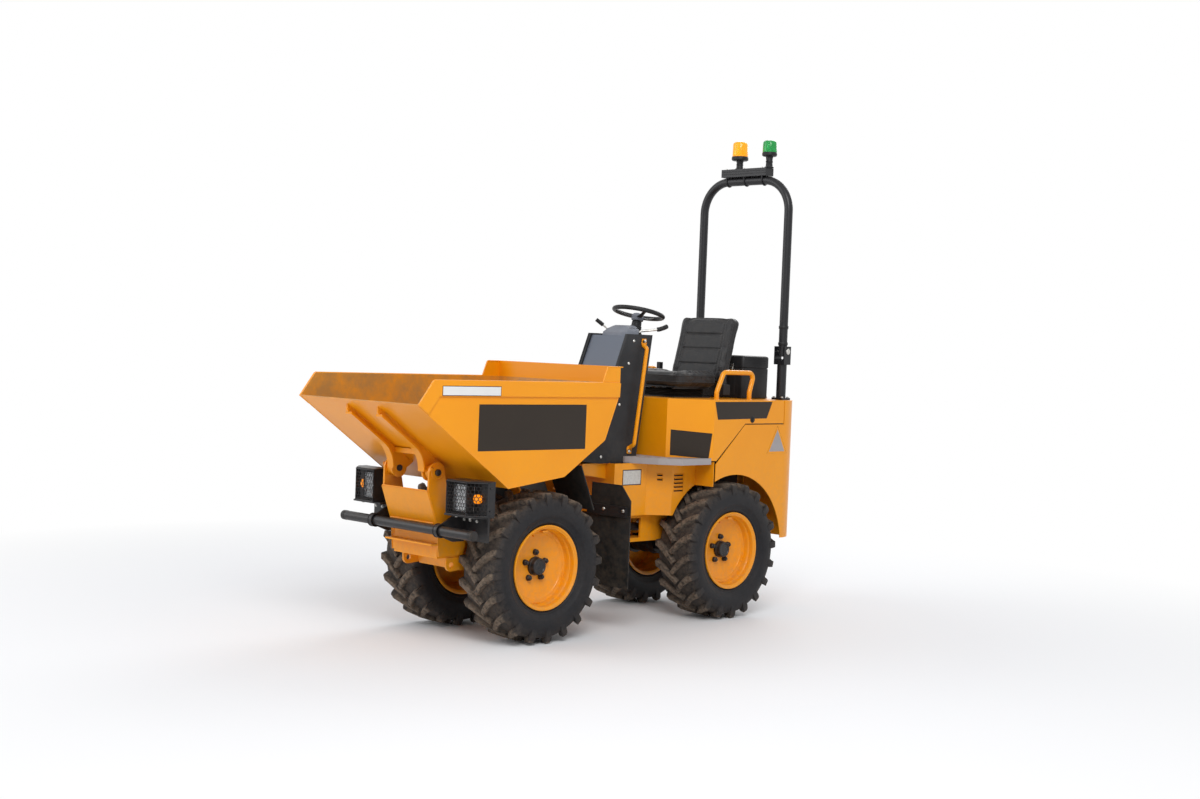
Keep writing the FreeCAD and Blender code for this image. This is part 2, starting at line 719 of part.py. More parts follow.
def ram_lug(label, y, z, root):
    """One lug plate of a ram: a round end about the pin, spreading to root, with a bore."""
    start = D.ram_lug_gap / 2
    radius = D.ram_eye_radius + 4
    web = plate(f"{label}_web", "YZ_Plane", root, start, D.ram_lug_wall)
    head = cylinder(f"{label}_head", "X", (start, y, z), radius, D.ram_lug_wall)
    bore = cylinder(f"{label}_bore", "X", (start - 1, y, z), D.ram_pin_radius + D.running,
                    D.ram_lug_wall + 2)
    return cut(label, fused(f"{label}_whole", [web, head]), bore)


def front_frame():
    """Rails, the neck with its pivot boss and ram lugs, and the saddle over the axle."""
    wall, outer = D.rail_wall, D.front_rail_half
    between = outer - wall - D.gap
    end = -D.front_rail_end
    floor = D.frame_floor + D.clevis_wall + D.gap
    ceiling = D.frame_floor + D.frame_height - D.clevis_wall - D.gap
    middle = (floor + ceiling) / 2
    rail = plate("front_rail", "YZ_Plane", [
        (-1236, D.rail_floor), (-1236, D.rail_top), (end, D.rail_top), (end, D.rail_floor + 10),
        (-600, D.rail_floor)], outer - wall, wall)
    cross = block("front_cross", (-between, end - wall, D.rail_floor + 10), (between, end, D.rail_top))
    neck = cylinder("neck", "Y", (0, end - 1, middle), D.neck_radius, D.front_rail_end - 20)
    boss = cylinder("pivot_boss", "Z", (0, 0, floor), D.boss_radius, ceiling - floor)
    bore = cylinder("pivot_bore", "Z", (0, 0, floor - 1), D.pivot_pin_radius + D.running,
                    ceiling - floor + 2)
    unit = cut("neck_unit", fused("neck_whole", [cross, neck, boss] + steer_head_lug(middle)), bore)
    saddle = block("front_saddle", (-outer, -D.front_axle_reach - 60, D.rail_top + D.gap),
                   (outer, -D.front_axle_reach + 60, D.rail_top + 12))
    return node(group("front_frame", pair(rail) + [unit, saddle]))


def steer_head_lug(middle):
    """Two flat lugs and their web on the front frame's neck, for the steering ram's head."""
    x, y, z = D.steer_head_side, -D.steer_head_front, D.steer_height
    radius = D.ram_eye_radius
    half = D.ram_eye_radius + D.free_gap
    reach = half + D.ram_lug_wall
    made = [block("steer_lug_web", (20, y - radius, least(z - reach, middle - 20)),
                  (60, y + radius, most(z + reach, middle + 20)))]
    for name, low in (("upper", z + half), ("lower", z - half - D.ram_lug_wall)):
        arm = block(f"steer_lug_{name}_arm", (0, y - radius, low), (x, y + radius, low + D.ram_lug_wall))
        head = cylinder(f"steer_lug_{name}_head", "Z", (x, y, low), radius, D.ram_lug_wall)
        bore = cylinder(f"steer_lug_{name}_bore", "Z", (x, y, low - 1),
                        D.ram_pin_radius + D.running, D.ram_lug_wall + 2)
        made.append(cut(f"steer_lug_{name}", fused(f"steer_lug_{name}_whole", [arm, head]), bore))
    return made


def chassis_pins():
    """Pins on the front chassis: skip pivots and the tip ram's foot."""
    start = D.rib_place - D.rib_wall / 2 - 6
    skip_pin = cylinder("skip_pin", "X", (start, -D.tip_reach, D.tip_height), D.tip_pin_radius,
                        D.cheek_half + 8 - start)
    half = D.ram_lug_gap / 2 + D.ram_lug_wall + 4
    foot_pin = cylinder("ram_foot_pin", "X", (-half, -D.tip_ram_reach, D.tip_ram_height),
                        D.ram_pin_radius, half * 2)
    return node(group("chassis_pins", pair(skip_pin) + [foot_pin]))


def bumper():
    """Front tube in its collars, with plates back to the lamp brackets."""
    bar = cylinder("bumper_tube", "X", (-D.bar_half, -D.bar_reach, D.bar_height), D.bar_radius,
                   D.bar_half * 2)
    y, z = -D.bar_reach, D.bar_height
    start = D.bar_bracket - D.bar_bracket_wall / 2
    collar = cylinder("collar", "X", (D.bar_bracket - 16, y, z), D.collar_radius, 32)
    arm = plate("bracket_arm", "YZ_Plane", [
        (y, z - 26), (y, z + 26), (-D.lamp_back - 20, D.lamp_floor - D.gap), (-D.lamp_back + 24, D.lamp_floor - D.gap),
        (-D.lamp_back + 24, 520), (-1220, 520)], start, D.bar_bracket_wall)
    back = block("bracket_back", (D.cheek_half + D.gap, -D.lamp_back + 12, 530),
                 (D.lamp_outer - 60, -D.lamp_back + 24, D.lamp_floor - D.gap))
    shelf = block("bracket_shelf", (start, -D.lamp_front + 16, D.lamp_floor - 8 - D.gap),
                  (D.lamp_outer - 30, -D.lamp_back + 24, D.lamp_floor - D.gap))
    seat = cylinder("collar_seat", "X", (D.bar_bracket - 20, y, z), D.bar_radius + D.gap, 40)
    bracket = cut("bracket_left", fused("bracket_whole", [collar, arm, back, shelf]), seat)
    return node(group("bumper", [bar] + pair(bracket)))


def lamp_outline(inset, back):
    """Plan of a headlamp box, drawn in by inset: inner side, front, slanted face, outer side."""
    return [(D.lamp_inner + inset, -back), (D.lamp_inner + inset, -D.lamp_front + inset),
            (D.lamp_bend - inset * 0.4, -D.lamp_front + inset), (D.lamp_outer - inset, -D.lamp_corner + inset * 0.4),
            (D.lamp_outer - inset, -back)]


def headlamps():
    wall = D.lamp_wall
    low, high = D.lamp_floor, D.lamp_top
    case = plate("lamp_case", "XY_Plane", lamp_outline(0, D.lamp_back), low, high - low)
    room = plate("lamp_room", "XY_Plane", lamp_outline(wall, D.lamp_back + D.lamp_recess + 20),
                 low + wall, high - low - wall * 2)
    mouth = block("lamp_mouth", (D.lamp_inner + wall, -D.lamp_front - 5, low + wall),
                  (D.lamp_outer + 5, -D.lamp_corner + 2, high - wall))
    shell = cut("lamp_shell", case, room, mouth)
    lens_low, lens_high = low + wall + 14, high - wall - 14
    floor_line = -D.lamp_back - D.lamp_recess - 20
    lens = block("lamp_lens", (D.lamp_inner + 18, -D.lamp_front + D.lamp_recess, lens_low),
                 (D.lamp_inner + 118, floor_line - D.gap, lens_high))
    amber = cylinder("lamp_amber", "Y", (D.lamp_inner + 158, floor_line - 24, (low + high) / 2), 22,
                     24 - D.gap)
    node(group("headlamp_boxes", pair(shell)))
    node(group("headlamp_lenses", pair(lens)))
    return node(group("indicator_lenses", pair(amber)))


def lamp_guards():
    """Wire frames before the headlamps: a border with upright and level bars."""
    low, high = D.lamp_floor, D.lamp_top
    wire = 3
    plan = lamp_outline(-wire - D.gap, D.lamp_back + 20)
    front = plan[1][1]
    pieces = []
    for number in range(4):
        height = low + wire + (high - low - wire * 2) * number / 3
        corners = [(x, y, height) for x, y in [(D.lamp_inner, front)] + plan[2:]]
        pieces.append(tube(f"guard_level_{number}", corners, wire, wire + 0.4))
    for number in range(5):
        x = D.lamp_inner + 4 + (D.lamp_bend - D.lamp_inner - 10) * number / 4
        pieces.append(cylinder(f"guard_upright_{number}", "Z", (x, front, low), wire, high - low))
    whole = fused("guard_left", pieces)
    return node(group("lamp_guards", pair(whole)))


def mudflaps():
    reach = -D.flap_reach
    flap = plate("flap", "XZ_Plane", [
        (D.flap_inner, D.flap_floor), (D.flap_outer, D.flap_floor), (D.flap_outer, D.flap_step - 6),
        (D.flap_outer - 70, D.flap_top), (D.flap_inner + 70, D.flap_top), (D.flap_inner + 70, D.flap_step),
        (D.flap_inner, D.flap_step)], reach, D.flap_wall)
    face = D.gap * 1.1
    guard = plate("flap_guard", "YZ_Plane", [
        (-434 - face, 656), (-440.6 - face, 656), (-542.6 - face, 886), (-536 - face, 886)],
        D.rib_place + 64, 250)
    return node(group("mudflaps", pair(flap) + pair(guard)))


def skip_rests():
    """Inclined slotted posts behind the front axle, and the mudflaps' carriers."""
    start = D.front_rail_half + D.gap
    post = plate("rest_post", "YZ_Plane", [
        (-330, 540), (-342, 540), (-342, 560), (-434, 656), (-536, 886), (-522, 886), (-420, 656),
        (-330, 560)], D.rib_place - 6, 100)
    foot = block("rest_foot", (start, -342, 540), (D.rib_place + 84, -260, 560))
    slot = block("rest_slot", (D.rib_place + 44, -560, 740), (D.rib_place + 84, -400, 752))
    second = block("rest_slot_high", (D.rib_place + 44, -560, 790), (D.rib_place + 84, -400, 802))
    side = cut("rest_side", fused("rest_whole", [post, foot]), slot, second)
    hanger = block("flap_hanger", (start, -D.flap_reach - 12, 500), (start + 8, -D.flap_reach - D.gap, 660))
    bar = block("flap_bar", (start, -D.flap_reach - 8, 612), (D.flap_outer - 20, -D.flap_reach - D.gap, 656))
    carrier = fused("flap_carrier", [hanger, bar])
    return node(group("skip_rests", pair(side) + pair(carrier)))


# Skip

def skip_profile(inset):
    """Side outline of the skip, drawn in by inset at floor and back, open at the top."""
    lip, toe, heel, low, high = (
        (-D.lip_reach, D.lip_height), (-D.toe_reach, D.toe_height), (-D.heel_reach, D.heel_height),
        (-D.back_low_reach, D.back_low_height), (-D.rim_back - 4, D.back_top_height))
    top = (-D.rim_back, D.rim_top)
    front = (-D.rim_front, D.rim_top)
    return [lip, toe, heel, low, high, top, front]


def skip_shell():
    body = add("PartDesign::Body", "skip_shell")
    sketch = sketch_on(body, "YZ_Plane", -D.skip_half)
    polygon(sketch, skip_profile(0))
    pad = extrude(body, sketch, D.skip_half * 2, "YZ_Plane")
    DOC.recompute()
    mouth = []
    for number, face in enumerate(pad.Shape.Faces, start=1):
        normal = face.normalAt(0, 0)
        level = normal.z > 0.99
        slanted = normal.z > 0.5 and normal.y < -0.5 and abs(normal.x) < 0.1
        if level or slanted:
            mouth.append(f"Face{number}")
    hollow = body.newObject("PartDesign::Thickness", "Hollow")
    hollow.Base = (pad, mouth)
    bind(hollow, "Value", D.skip_wall)
    hollow.Reversed = True
    body.Tip = hollow
    return node(body)


def skip_rim():
    """Folded band round the top of each side, and along the slanted front corner."""
    top, band = D.rim_top, D.rim_band
    side = plate("rim_band_left", "YZ_Plane", [
        (-D.rim_back, top), (-D.rim_front, top), (-D.lip_reach, D.lip_height),
        (-D.lip_reach + 58, D.lip_height - 40), (-D.rim_front + 33, top - band), (-D.rim_back - 4, top - band)],
        D.skip_half, D.rim_band_wall)
    half = D.skip_half + 3
    wall = D.skip_wall
    back = block("guard_back", (-half, -D.rim_back - wall, top), (half, -D.rim_back, D.guard_top))
    wing = plate("guard_wing", "YZ_Plane", [
        (-D.rim_back, top), (-D.rim_back, D.guard_top), (-D.rim_back - D.guard_wing + 40, D.guard_top),
        (-D.rim_back - D.guard_wing, top)], half - wall, wall)
    flange = block("guard_flange", (-half, -D.rim_back, D.guard_top - wall),
                   (half, -D.rim_back + 18, D.guard_top))
    guard = fused("skip_guard", [back, flange] + pair(wing))
    return node(group("skip_rim", pair(side) + [guard]))


def rib_edge(offset):
    """Front edge of a rib moved forward by offset: along the plate, the bend, then upright."""
    slope = math.atan2(float(D.lip_height - D.toe_height), float(D.lip_reach - D.toe_reach))
    vertical = -D.tip_reach - D.ear_radius + 2
    centre_y = vertical - D.rib_bend
    enter_y = centre_y + D.rib_bend * math.sin(slope)
    centre_z = plate_line(enter_y, D.rib_depth / math.cos(slope)) - D.rib_bend * math.cos(slope)
    bend = D.rib_bend - offset
    half_turn = (math.pi / 2 - slope) / 2
    start_y = -D.lip_reach + 34 + max(offset, 0) + (4 if offset else 0)
    return {
        "start": (start_y, plate_line(start_y, (D.rib_depth + offset) / math.cos(slope))),
        "enter": (centre_y + bend * math.sin(slope), centre_z + bend * math.cos(slope)),
        "middle": (centre_y + bend * math.cos(half_turn), centre_z + bend * math.sin(half_turn)),
        "leave": (vertical - offset, centre_z),
        "foot": (vertical - offset, D.tip_height + 2),
    }


def skip_ribs():
    y, z = -D.tip_reach, D.tip_height
    ear = D.ear_radius - 2
    edge = rib_edge(0)
    start = edge["start"]
    rib = curved_plate("rib_web", "YZ_Plane", (start[0], plate_line(start[0])), [
        [start],
        [edge["enter"]],
        [edge["middle"], edge["leave"]],
        [(y - ear, z)],
        [(y, z - ear), (y + ear, z)],
        [(y + ear + 40, plate_line(y + ear + 40))],
        [(start[0], plate_line(start[0]))]],
        D.rib_place - D.rib_wall / 2, D.rib_wall, [(y, z, D.tip_pin_radius + D.running)])
    inner, outer = rib_edge(-3), rib_edge(D.rib_flange_wall.value)
    inner_start = (outer["start"][0], plate_line(outer["start"][0], plate_line(inner["start"][0]) - inner["start"][1]))
    flange = curved_plate("rib_flange", "YZ_Plane", inner_start, [
        [inner["enter"]],
        [inner["middle"], inner["leave"]],
        [inner["foot"]],
        [outer["foot"]],
        [outer["leave"]],
        [outer["middle"], outer["enter"]],
        [outer["start"]],
        [inner_start]], D.rib_place - D.rib_flange / 2, D.rib_flange)
    eye_y, eye_z = -D.tip_eye_reach, D.tip_eye_height
    lug = ram_lug("ram_head_lug", eye_y, eye_z, [
        (eye_y - 28, eye_z), (eye_y - 60, floor_line(eye_y - 60)), (eye_y + 60, floor_line(eye_y + 60)),
        (eye_y + 28, eye_z)])
    tie_half = D.rib_place - D.rib_wall / 2 + 1
    front = y - D.ear_radius + 11
    folded = plate("rib_tie", "YZ_Plane", [
        (front, z + 80), (front, plate_line(front + 6, 4)), (front + 6, plate_line(front + 6, 4)),
        (front + 6, z + 86), (front + 34, z + 86), (front + 34, z + 80)], -tie_half, tie_half * 2)
    ribs = fused("ribs", pair(fused("rib_left", [rib, flange])) + [folded])
    return node(group("skip_ribs", [ribs] + pair(lug)))


# Rams

def ram(prefix, foot, head, barrel_radius, barrel_end, rod_radius, rod_inside, rod_room, flat):
    """Barrel and rod between two pins; flat rams have upright pins, others level ones."""
    foot_spot = V(*[float(part) for part in foot])
    head_spot = V(*[float(part) for part in head])
    reach = (head_spot - foot_spot).Length
    along = (head_spot - foot_spot).normalize()
    turn = FreeCAD.Rotation(V(0, 0, 1), along)
    pin_axis = V(0, 0, 1) if flat else V(1, 0, 0)
    pin_turn = FreeCAD.Rotation(V(0, 0, 1), pin_axis)
    eye = float(D.ram_eye_radius)
    pin = float(D.ram_pin_radius)

    def bar(start, end, radius):
        made = Part.makeCylinder(float(radius), end - start)
        made.Placement = FreeCAD.Placement(foot_spot + along * start, turn)
        return made

    def across(spot, radius, half):
        made = Part.makeCylinder(radius, half * 2)
        made.Placement = FreeCAD.Placement(spot - pin_axis * half, pin_turn)
        return made

    half_eye = eye if flat else float(D.ram_lug_gap) / 2 - 5
    end = float(barrel_end)
    run = float(D.running)
    inside = end - float(rod_inside)
    tube_shape = bar(eye * 0.6, end, barrel_radius).fuse(bar(end - 26, end, float(barrel_radius) + 4))
    tube_shape = tube_shape.fuse(across(foot_spot, eye, half_eye))
    tube_shape = tube_shape.cut(bar(inside - float(rod_room), end + 1, float(rod_radius) + run))
    tube_shape = tube_shape.cut(across(foot_spot, pin + run, half_eye + 1))
    barrel = add("Part::Feature", f"{prefix}_barrel")
    barrel.Shape = tube_shape.removeSplitter()
    rod_shape = bar(inside, reach - eye * 0.6, rod_radius).fuse(across(head_spot, eye, half_eye))
    rod_shape = rod_shape.fuse(across(head_spot, pin, half_eye + 4))
    rod = add("Part::Feature", f"{prefix}_rod")
    rod.Shape = rod_shape.removeSplitter()
    return node(barrel), node(rod)


# Rear chassis

def rear_frame():
    """Rails, clevis, cross plate with the tow jaw, and the body's stays."""
    half, wall = D.rear_frame_half, D.rail_wall
    between = half - wall - D.gap
    low, high = D.frame_floor, D.frame_floor + D.frame_height
    front, end = D.rear_frame_front, D.rear_frame_end
    rail = block("rear_rail", (half - wall, front, low), (half, end, high))
    casing = cylinder("casing_seat", "X", (-half - 1, D.rear_axle_reach, D.axle_height),
                      D.drum_radius + D.gap, half * 2 + 2)
    left = cut("rear_rail_left", fused("rear_rail_whole", [rail] + steer_foot_lugs()), casing, steer_foot_hole())
    right = cut("rear_rail_right", mirrored("rear_rail_plain", rail), casing)
    last = block("rear_cross", (-between, end - wall, low), (between, end, high))
    tow = block("tow_block", (-50, end - 2, low + 20), (50, end + 162, low + 100))
    tow_mouth = block("tow_mouth", (-55, end + 110, low + 42), (55, end + 170, low + 78))
    tow_bore = cylinder("tow_bore", "Z", (0, end + 136, low), 13, 140)
    tow_unit = cut("tow_unit", fused("tow_whole", [last, tow]), tow_mouth, tow_bore)
    sheet = block("stay_sheet", (-D.body_half + D.body_wall + D.gap, end - 8, 860),
                  (D.body_half - D.body_wall - D.gap, end, D.knee_height - 10))
    stay = block("stay_web", (between - 30, end - 8, high + D.gap), (between, end, 860 - D.gap))
    return node(group("rear_frame", [left, right, clevis(), tow_unit, sheet] + pair(stay)))


def steer_foot_lugs():
    """Shelves for the steering ram's foot with the gusset that carries them on the left rail."""
    x, y, z = D.steer_foot_side, D.steer_foot_back, D.steer_height
    lift, wall = D.ram_eye_radius + D.free_gap, D.ram_lug_wall
    inner = D.rear_frame_half - D.rail_wall
    low, high = D.frame_floor, D.frame_floor + D.frame_height
    made = [block(f"steer_foot_{name}", (x - 26, y - 26, base), (inner + 1, y + 26, base + wall))
            for name, base in (("upper", z + lift), ("lower", z - lift - wall))]
    made.append(block("steer_foot_gusset", (inner - 8, y - 26, least(low + 10, z - lift - wall)),
                      (inner + 1, y + 26, most(high - 10, z + lift + wall))))
    return made


def steer_foot_hole():
    return cylinder("steer_foot_bore", "Z", (D.steer_foot_side, D.steer_foot_back, D.steer_height - 60),
                    D.ram_pin_radius + D.running, 120)


def clevis():
    """Two plates and their web that hold the articulation pin."""
    half, front, gap = D.rear_frame_half, D.rear_frame_front, D.gap
    inner = half - D.rail_wall - gap
    low, high = D.frame_floor, D.frame_floor + D.frame_height
    pieces = [block("clevis_web", (-44, 95, low), (44, D.clevis_reach, high))]
    for name, base in (("lower", low), ("upper", high - D.clevis_wall)):
        pieces.append(plate(f"clevis_{name}", "XY_Plane", [
            (-D.clevis_radius, 0), (D.clevis_radius, 0), (half, 100), (half, front - gap), (inner, front - gap),
            (inner, D.clevis_reach), (-inner, D.clevis_reach), (-inner, front - gap), (-half, front - gap),
            (-half, 100)], base, D.clevis_wall))
        pieces.append(cylinder(f"clevis_nose_{name}", "Z", (0, 0, base), D.clevis_radius, D.clevis_wall))
    bore = cylinder("clevis_bore", "Z", (0, 0, low - 1), D.pivot_pin_radius + D.running, D.frame_height + 2)
    return cut("clevis", fused("clevis_whole", pieces), bore)


def frame_pins():
    """Pins on the rear chassis: articulation, steering ram's foot, hood hinge, folding bar."""
    low, high = D.frame_floor, D.frame_floor + D.frame_height
    main = cylinder("articulation_shaft", "Z", (0, 0, low - D.pin_head), D.pivot_pin_radius,
                    D.frame_height + D.pin_head * 2)
    cap = cylinder("articulation_cap", "Z", (0, 0, high), D.pivot_pin_radius + 12, D.pin_head)
    half = D.ram_eye_radius + D.free_gap + D.ram_lug_wall + 6
    foot = cylinder("steer_foot_pin", "Z", (D.steer_foot_side, D.steer_foot_back, D.steer_height - half),
                    D.ram_pin_radius, half * 2)
    x, ear = D.post_side, D.free_gap + D.hoop_radius
    fold = cylinder("fold_pin", "X", (x - ear - 14, D.post_back, D.fold_height), D.fold_pin_radius,
                    ear * 2 + 28)
    lid = cylinder("lid_pin", "X", (-204, D.hinge_back, D.hinge_height), 3, 408)
    return node(group("frame_pins", [fused("articulation_pin", [main, cap]), foot, lid] + pair(fold)))


def lower_housing():
    """Sheet housing under the console and footplate, cut back round the rear tyres."""
    top = D.platform_top - D.platform_wall - D.gap
    low = D.frame_floor + D.frame_height + D.gap
    wall = D.body_wall

    def plan(inset, end):
        half, wide, front = D.housing_half - inset, D.housing_wide - inset, -D.housing_front + inset
        return [(-half, front), (half, front), (half, 190), (wide, 300), (wide, end),
                (-wide, end), (-wide, 300), (-half, 190)]

    outer = plate("housing_outer", "XY_Plane", plan(0, D.platform_end), low, top - low)
    inner = plate("housing_inner", "XY_Plane", plan(wall, D.platform_end + 20), low + wall, top - low)
    engine_room = block("housing_engine_room", (-170, 370, low - 1), (170, D.platform_end + 1, low + wall + 1))
    arch = cylinder("housing_arch", "X", (-500, D.rear_axle_reach, D.axle_height),
                    D.tyre_diameter / 2 + 26, 1000)
    cap_room = cylinder("housing_cap_room", "Z", (0, 0, low - 1), D.pivot_pin_radius + 18, wall + 2)
    console_room = block("housing_console_room", (-D.console_half - D.gap, -300, D.console_floor - D.gap),
                         (D.console_half + D.gap, 150, top + 1))
    slots = []
    for number in range(int(D.louvre_count.value)):
        edge = D.louvre_top - D.louvre_pitch * number
        slots.append(block(f"louvre_{number}", (D.housing_wide - 20, 316, edge - D.louvre_height),
                           (D.housing_wide + 20, 392, edge)))
    for number in range(2):
        edge = D.louvre_top - 24 * number
        slots.append(block(f"louvre_small_{number}", (228, 236, edge - D.louvre_height), (266, 260.5, edge)))
    slots = fused("louvres_left", slots)
    box = cut("housing_box", outer, inner, engine_room, arch, cap_room, console_room, *pair(slots))
    nose_top = D.console_floor - D.gap
    nose_end = -D.housing_front + 1
    nose = plate("housing_nose", "YZ_Plane", [
        (-236, 806), (-236, nose_top), (150, nose_top), (150, nose_top - 8), (nose_end, nose_top - 8),
        (nose_end, 780)], -D.console_half + D.console_cheek, (D.console_half - D.console_cheek) * 2)
    return node(fused("lower_housing", [box, nose]))


def platform():
    half, front, end = D.body_half, D.platform_front, D.platform_end
    low = D.platform_top - D.platform_wall
    # the footplate widens from the console to the body's sides
    outline = [(-165, front), (165, front), (330, front + 90), (half, 230), (half, end), (-half, end),
               (-half, 230), (-330, front + 90)]
    slab = plate("platform_slab", "XY_Plane", outline, low, D.platform_wall)
    # the hood stands in this cut-out
    margin = D.panel_gap
    opening = plate("platform_opening", "XY_Plane", hood_plan(-margin), low - 1, D.platform_wall + 2)
    console_room = block("console_room", (-D.console_half - 1, front - 1, low - 1),
                         (D.console_half + 1, 152, low + D.platform_wall + 1))
    return node(cut("platform", slab, opening, console_room))


def hood_plan(inset):
    """Plan of the hood, drawn in by inset."""
    front = D.hood_front + inset
    narrow = D.hood_front_half - inset
    wide = D.body_half - inset
    corner = D.hood_corner + inset * 0.6
    notch = D.notch_back - inset
    tongue = D.tongue_half - inset
    end = D.hinge_back - 14 - inset
    right = [(narrow, front), (wide, corner), (wide, notch), (tongue, notch), (tongue, end)]
    left = [(-x, y) for x, y in reversed(right)]
    return right + left


def hood():
    low, high, wall = D.platform_top - 15, D.deck_top, D.body_wall
    outer = plate("hood_outer", "XY_Plane", hood_plan(0), low, high - low)
    inner = plate("hood_inner", "XY_Plane", hood_plan(wall), low - 1, high - low - wall + 1)
    shell = cut("hood_shell", outer, inner)
    knee = D.knee_height + D.panel_gap / 2
    side = plate("hood_side", "YZ_Plane", [
        (100, low - 1), (D.platform_end + 5, low - 1), (D.knee_back, knee), (1300, knee), (1300, high + 1), (100, high + 1)],
        -D.body_half - 1, D.body_half * 2 + 2)
    lid = common("hood_lid", shell, side)
    under = block("tongue_under", (-D.tongue_half - 1, D.notch_back + 2, low - 2),
                  (D.tongue_half + 1, D.hinge_back, high - 22))
    back = D.hinge_back
    root = block("hinge_root", (-200, back - 18, high - 1), (200, back - 14, high + 5))
    leaf = block("hinge_leaf", (-200, back - 18, high + 1), (200, back, high + 5))
    knuckle = cylinder("hinge_knuckle", "X", (-200, back, D.hinge_height), D.hinge_radius, 400)
    gaps = [block(f"hinge_gap_{name}", (x - 30.5, back - 12, high + 0.3), (x + 30.5, back + 12, high + 20))
            for name, x in (("left", 120), ("right", -120))]
    bore = cylinder("hinge_bore", "X", (-201, back, D.hinge_height), 3 + D.running, 402)
    hinge = cut("hood_hinge", fused("hinge_half", [root, leaf, knuckle]), bore, *gaps)
    return node(fused("hood", [cut("hood_trimmed", lid, under), hinge]))


def tail_panels():
    """Sides, arches and rounded tail of the bodywork, open under the hood."""
    low, high, wall = D.body_floor, D.deck_top, D.body_wall

    def solid(name, inset, base, top):
        half = D.body_half - inset
        end = D.tail_reach - inset
        bend = D.tail_corner - inset
        diagonal = math.sqrt(0.5)
        front = D.platform_end - 80
        plan = curved_plate(f"tail_plan_{name}", "XY_Plane", (half, front), [
            [(half, end - bend)],
            [(half - bend * (1 - diagonal), end - bend * (1 - diagonal)), (half - bend, end)],
            [(-half + bend, end)],
            [(-half + bend * (1 - diagonal), end - bend * (1 - diagonal)), (-half, end - bend)],
            [(-half, front)],
            [(half, front)]], base, top - base)
        lean = D.tail_lean
        side = plate(f"tail_side_{name}", "YZ_Plane", [
            (front - 1, base - 1), (end - lean - 8, base - 1), (end, D.tail_bulge),
            (end - lean, D.deck_top + 2), (front - 1, D.deck_top + 2)], -half - 1, half * 2 + 2)
        return common(f"tail_{name}", plan, side)

    shell = cut("tail_shell", solid("outer", 0, low, high), solid("inner", wall, low - 1, high - wall))
    knee = D.knee_height - D.panel_gap / 2
    under_hood = plate("under_hood", "YZ_Plane", [
        (300, low - 5), (300, 1300), (D.notch_back + D.panel_gap, 1300), (D.notch_back + D.panel_gap, knee),
        (D.knee_back, knee), (D.platform_end + 3, D.platform_top - D.platform_wall),
        (D.platform_end + 3, low - 5)], -500, 1000)
    tongue = block("tongue_room", (-D.tongue_half - D.panel_gap, 1000, high - wall - 1),
                   (D.tongue_half + D.panel_gap, D.hinge_back - 9, high + 1))
    tow_room = block("tow_room", (-58, 1150, low - 1), (58, 1260, low + 108))
    arch = cylinder("arch", "X", (-500, D.rear_axle_reach, D.axle_height), D.arch_radius, 1000)
    made = cut("tail_cut", shell, under_hood, tongue, tow_room, arch)
    knuckles = []
    for name, x in (("left", 120), ("right", -120)):
        knuckle = cylinder(f"tail_knuckle_{name}", "X", (x - 30, D.hinge_back, D.hinge_height), D.hinge_radius, 60)
        foot = block(f"tail_knuckle_foot_{name}", (x - 30, D.hinge_back - 5, high - 1),
                     (x + 30, D.hinge_back + 5, D.hinge_height - 2))
        knuckles += [knuckle, foot]
    bore = cylinder("tail_hinge_bore", "X", (-200, D.hinge_back, D.hinge_height), 3 + D.running, 400)
    hinge = cut("tail_hinge", fused("tail_knuckles", knuckles), bore)
    return node(fused("tail_panels", [made, hinge]))


def engine():
    made = block("engine_block", (-155, 380, D.frame_floor + D.frame_height + D.gap), (155, 1010, 1040))
    return node(made)


# Console

def console_outline(inset):
    """Side outline of the console, nose first."""
    return [(-198 + inset, 988), (-262 + inset, 952), (-284 + inset, 910), (-250 + inset, 876),
            (-134, D.console_floor), (146 - inset, D.console_floor), (246 - inset, D.console_top - inset),
            (52 + inset, D.console_top - inset), (-34 + inset, 1342)]


def console():
    half, cheek = D.console_half, D.console_cheek
    side = plate("console_cheek_left", "YZ_Plane", console_outline(0), half - cheek, cheek)
    node(group("console_cheeks", pair(side)))
    shroud = plate("console_shroud", "YZ_Plane", console_outline(D.console_edge), -half + cheek, (half - cheek) * 2)
    return node(shroud)


def grab_handles():
    """Flat-ended bars on the console's cheeks."""
    x = D.console_half
    stand = x + 34
    bar = tube("handle_bar", [
        (x + D.gap, 172, 1500), (stand, 172, 1500), (stand, 94, 952), (x + D.gap, 94, 952)], 11, 20)
    return node(group("grab_handles", pair(bar)))


def controls():
    """Shift lever beside the steering column."""
    top = D.console_top - D.console_edge + D.gap
    lever = tube("lever_stem", [(90, 205, top), (90, 205, 1580), (165, 300, 1596), (170, 325, 1606)], 7, 12)
    grip = cylinder("lever_grip", "Z", (168, 316, 1598), 15, 44)
    return fused("control_lever", [lever, grip])


def column():
    lean = math.radians(float(D.wheel_lean))
    along = V(0, math.sin(lean), math.cos(lean))
    top = V(0, float(D.wheel_back), float(D.wheel_height)) - along * 46
    seat = float(D.console_top - D.console_edge + D.gap)
    foot = top - along * ((top.z - seat - 12) / along.z)
    shape = Part.makeCylinder(30, (top - foot).Length - 1, foot, along)
    shape = shape.fuse(Part.makeCylinder(11, (top - foot).Length + 26, foot, along))
    shape = shape.fuse(Part.makeCylinder(42, 20, V(0, foot.y - 2, seat)))
    made = add("Part::Feature", "column_tube")
    made.Shape = shape.removeSplitter()
    return node(group("console_controls", [made, controls()]))


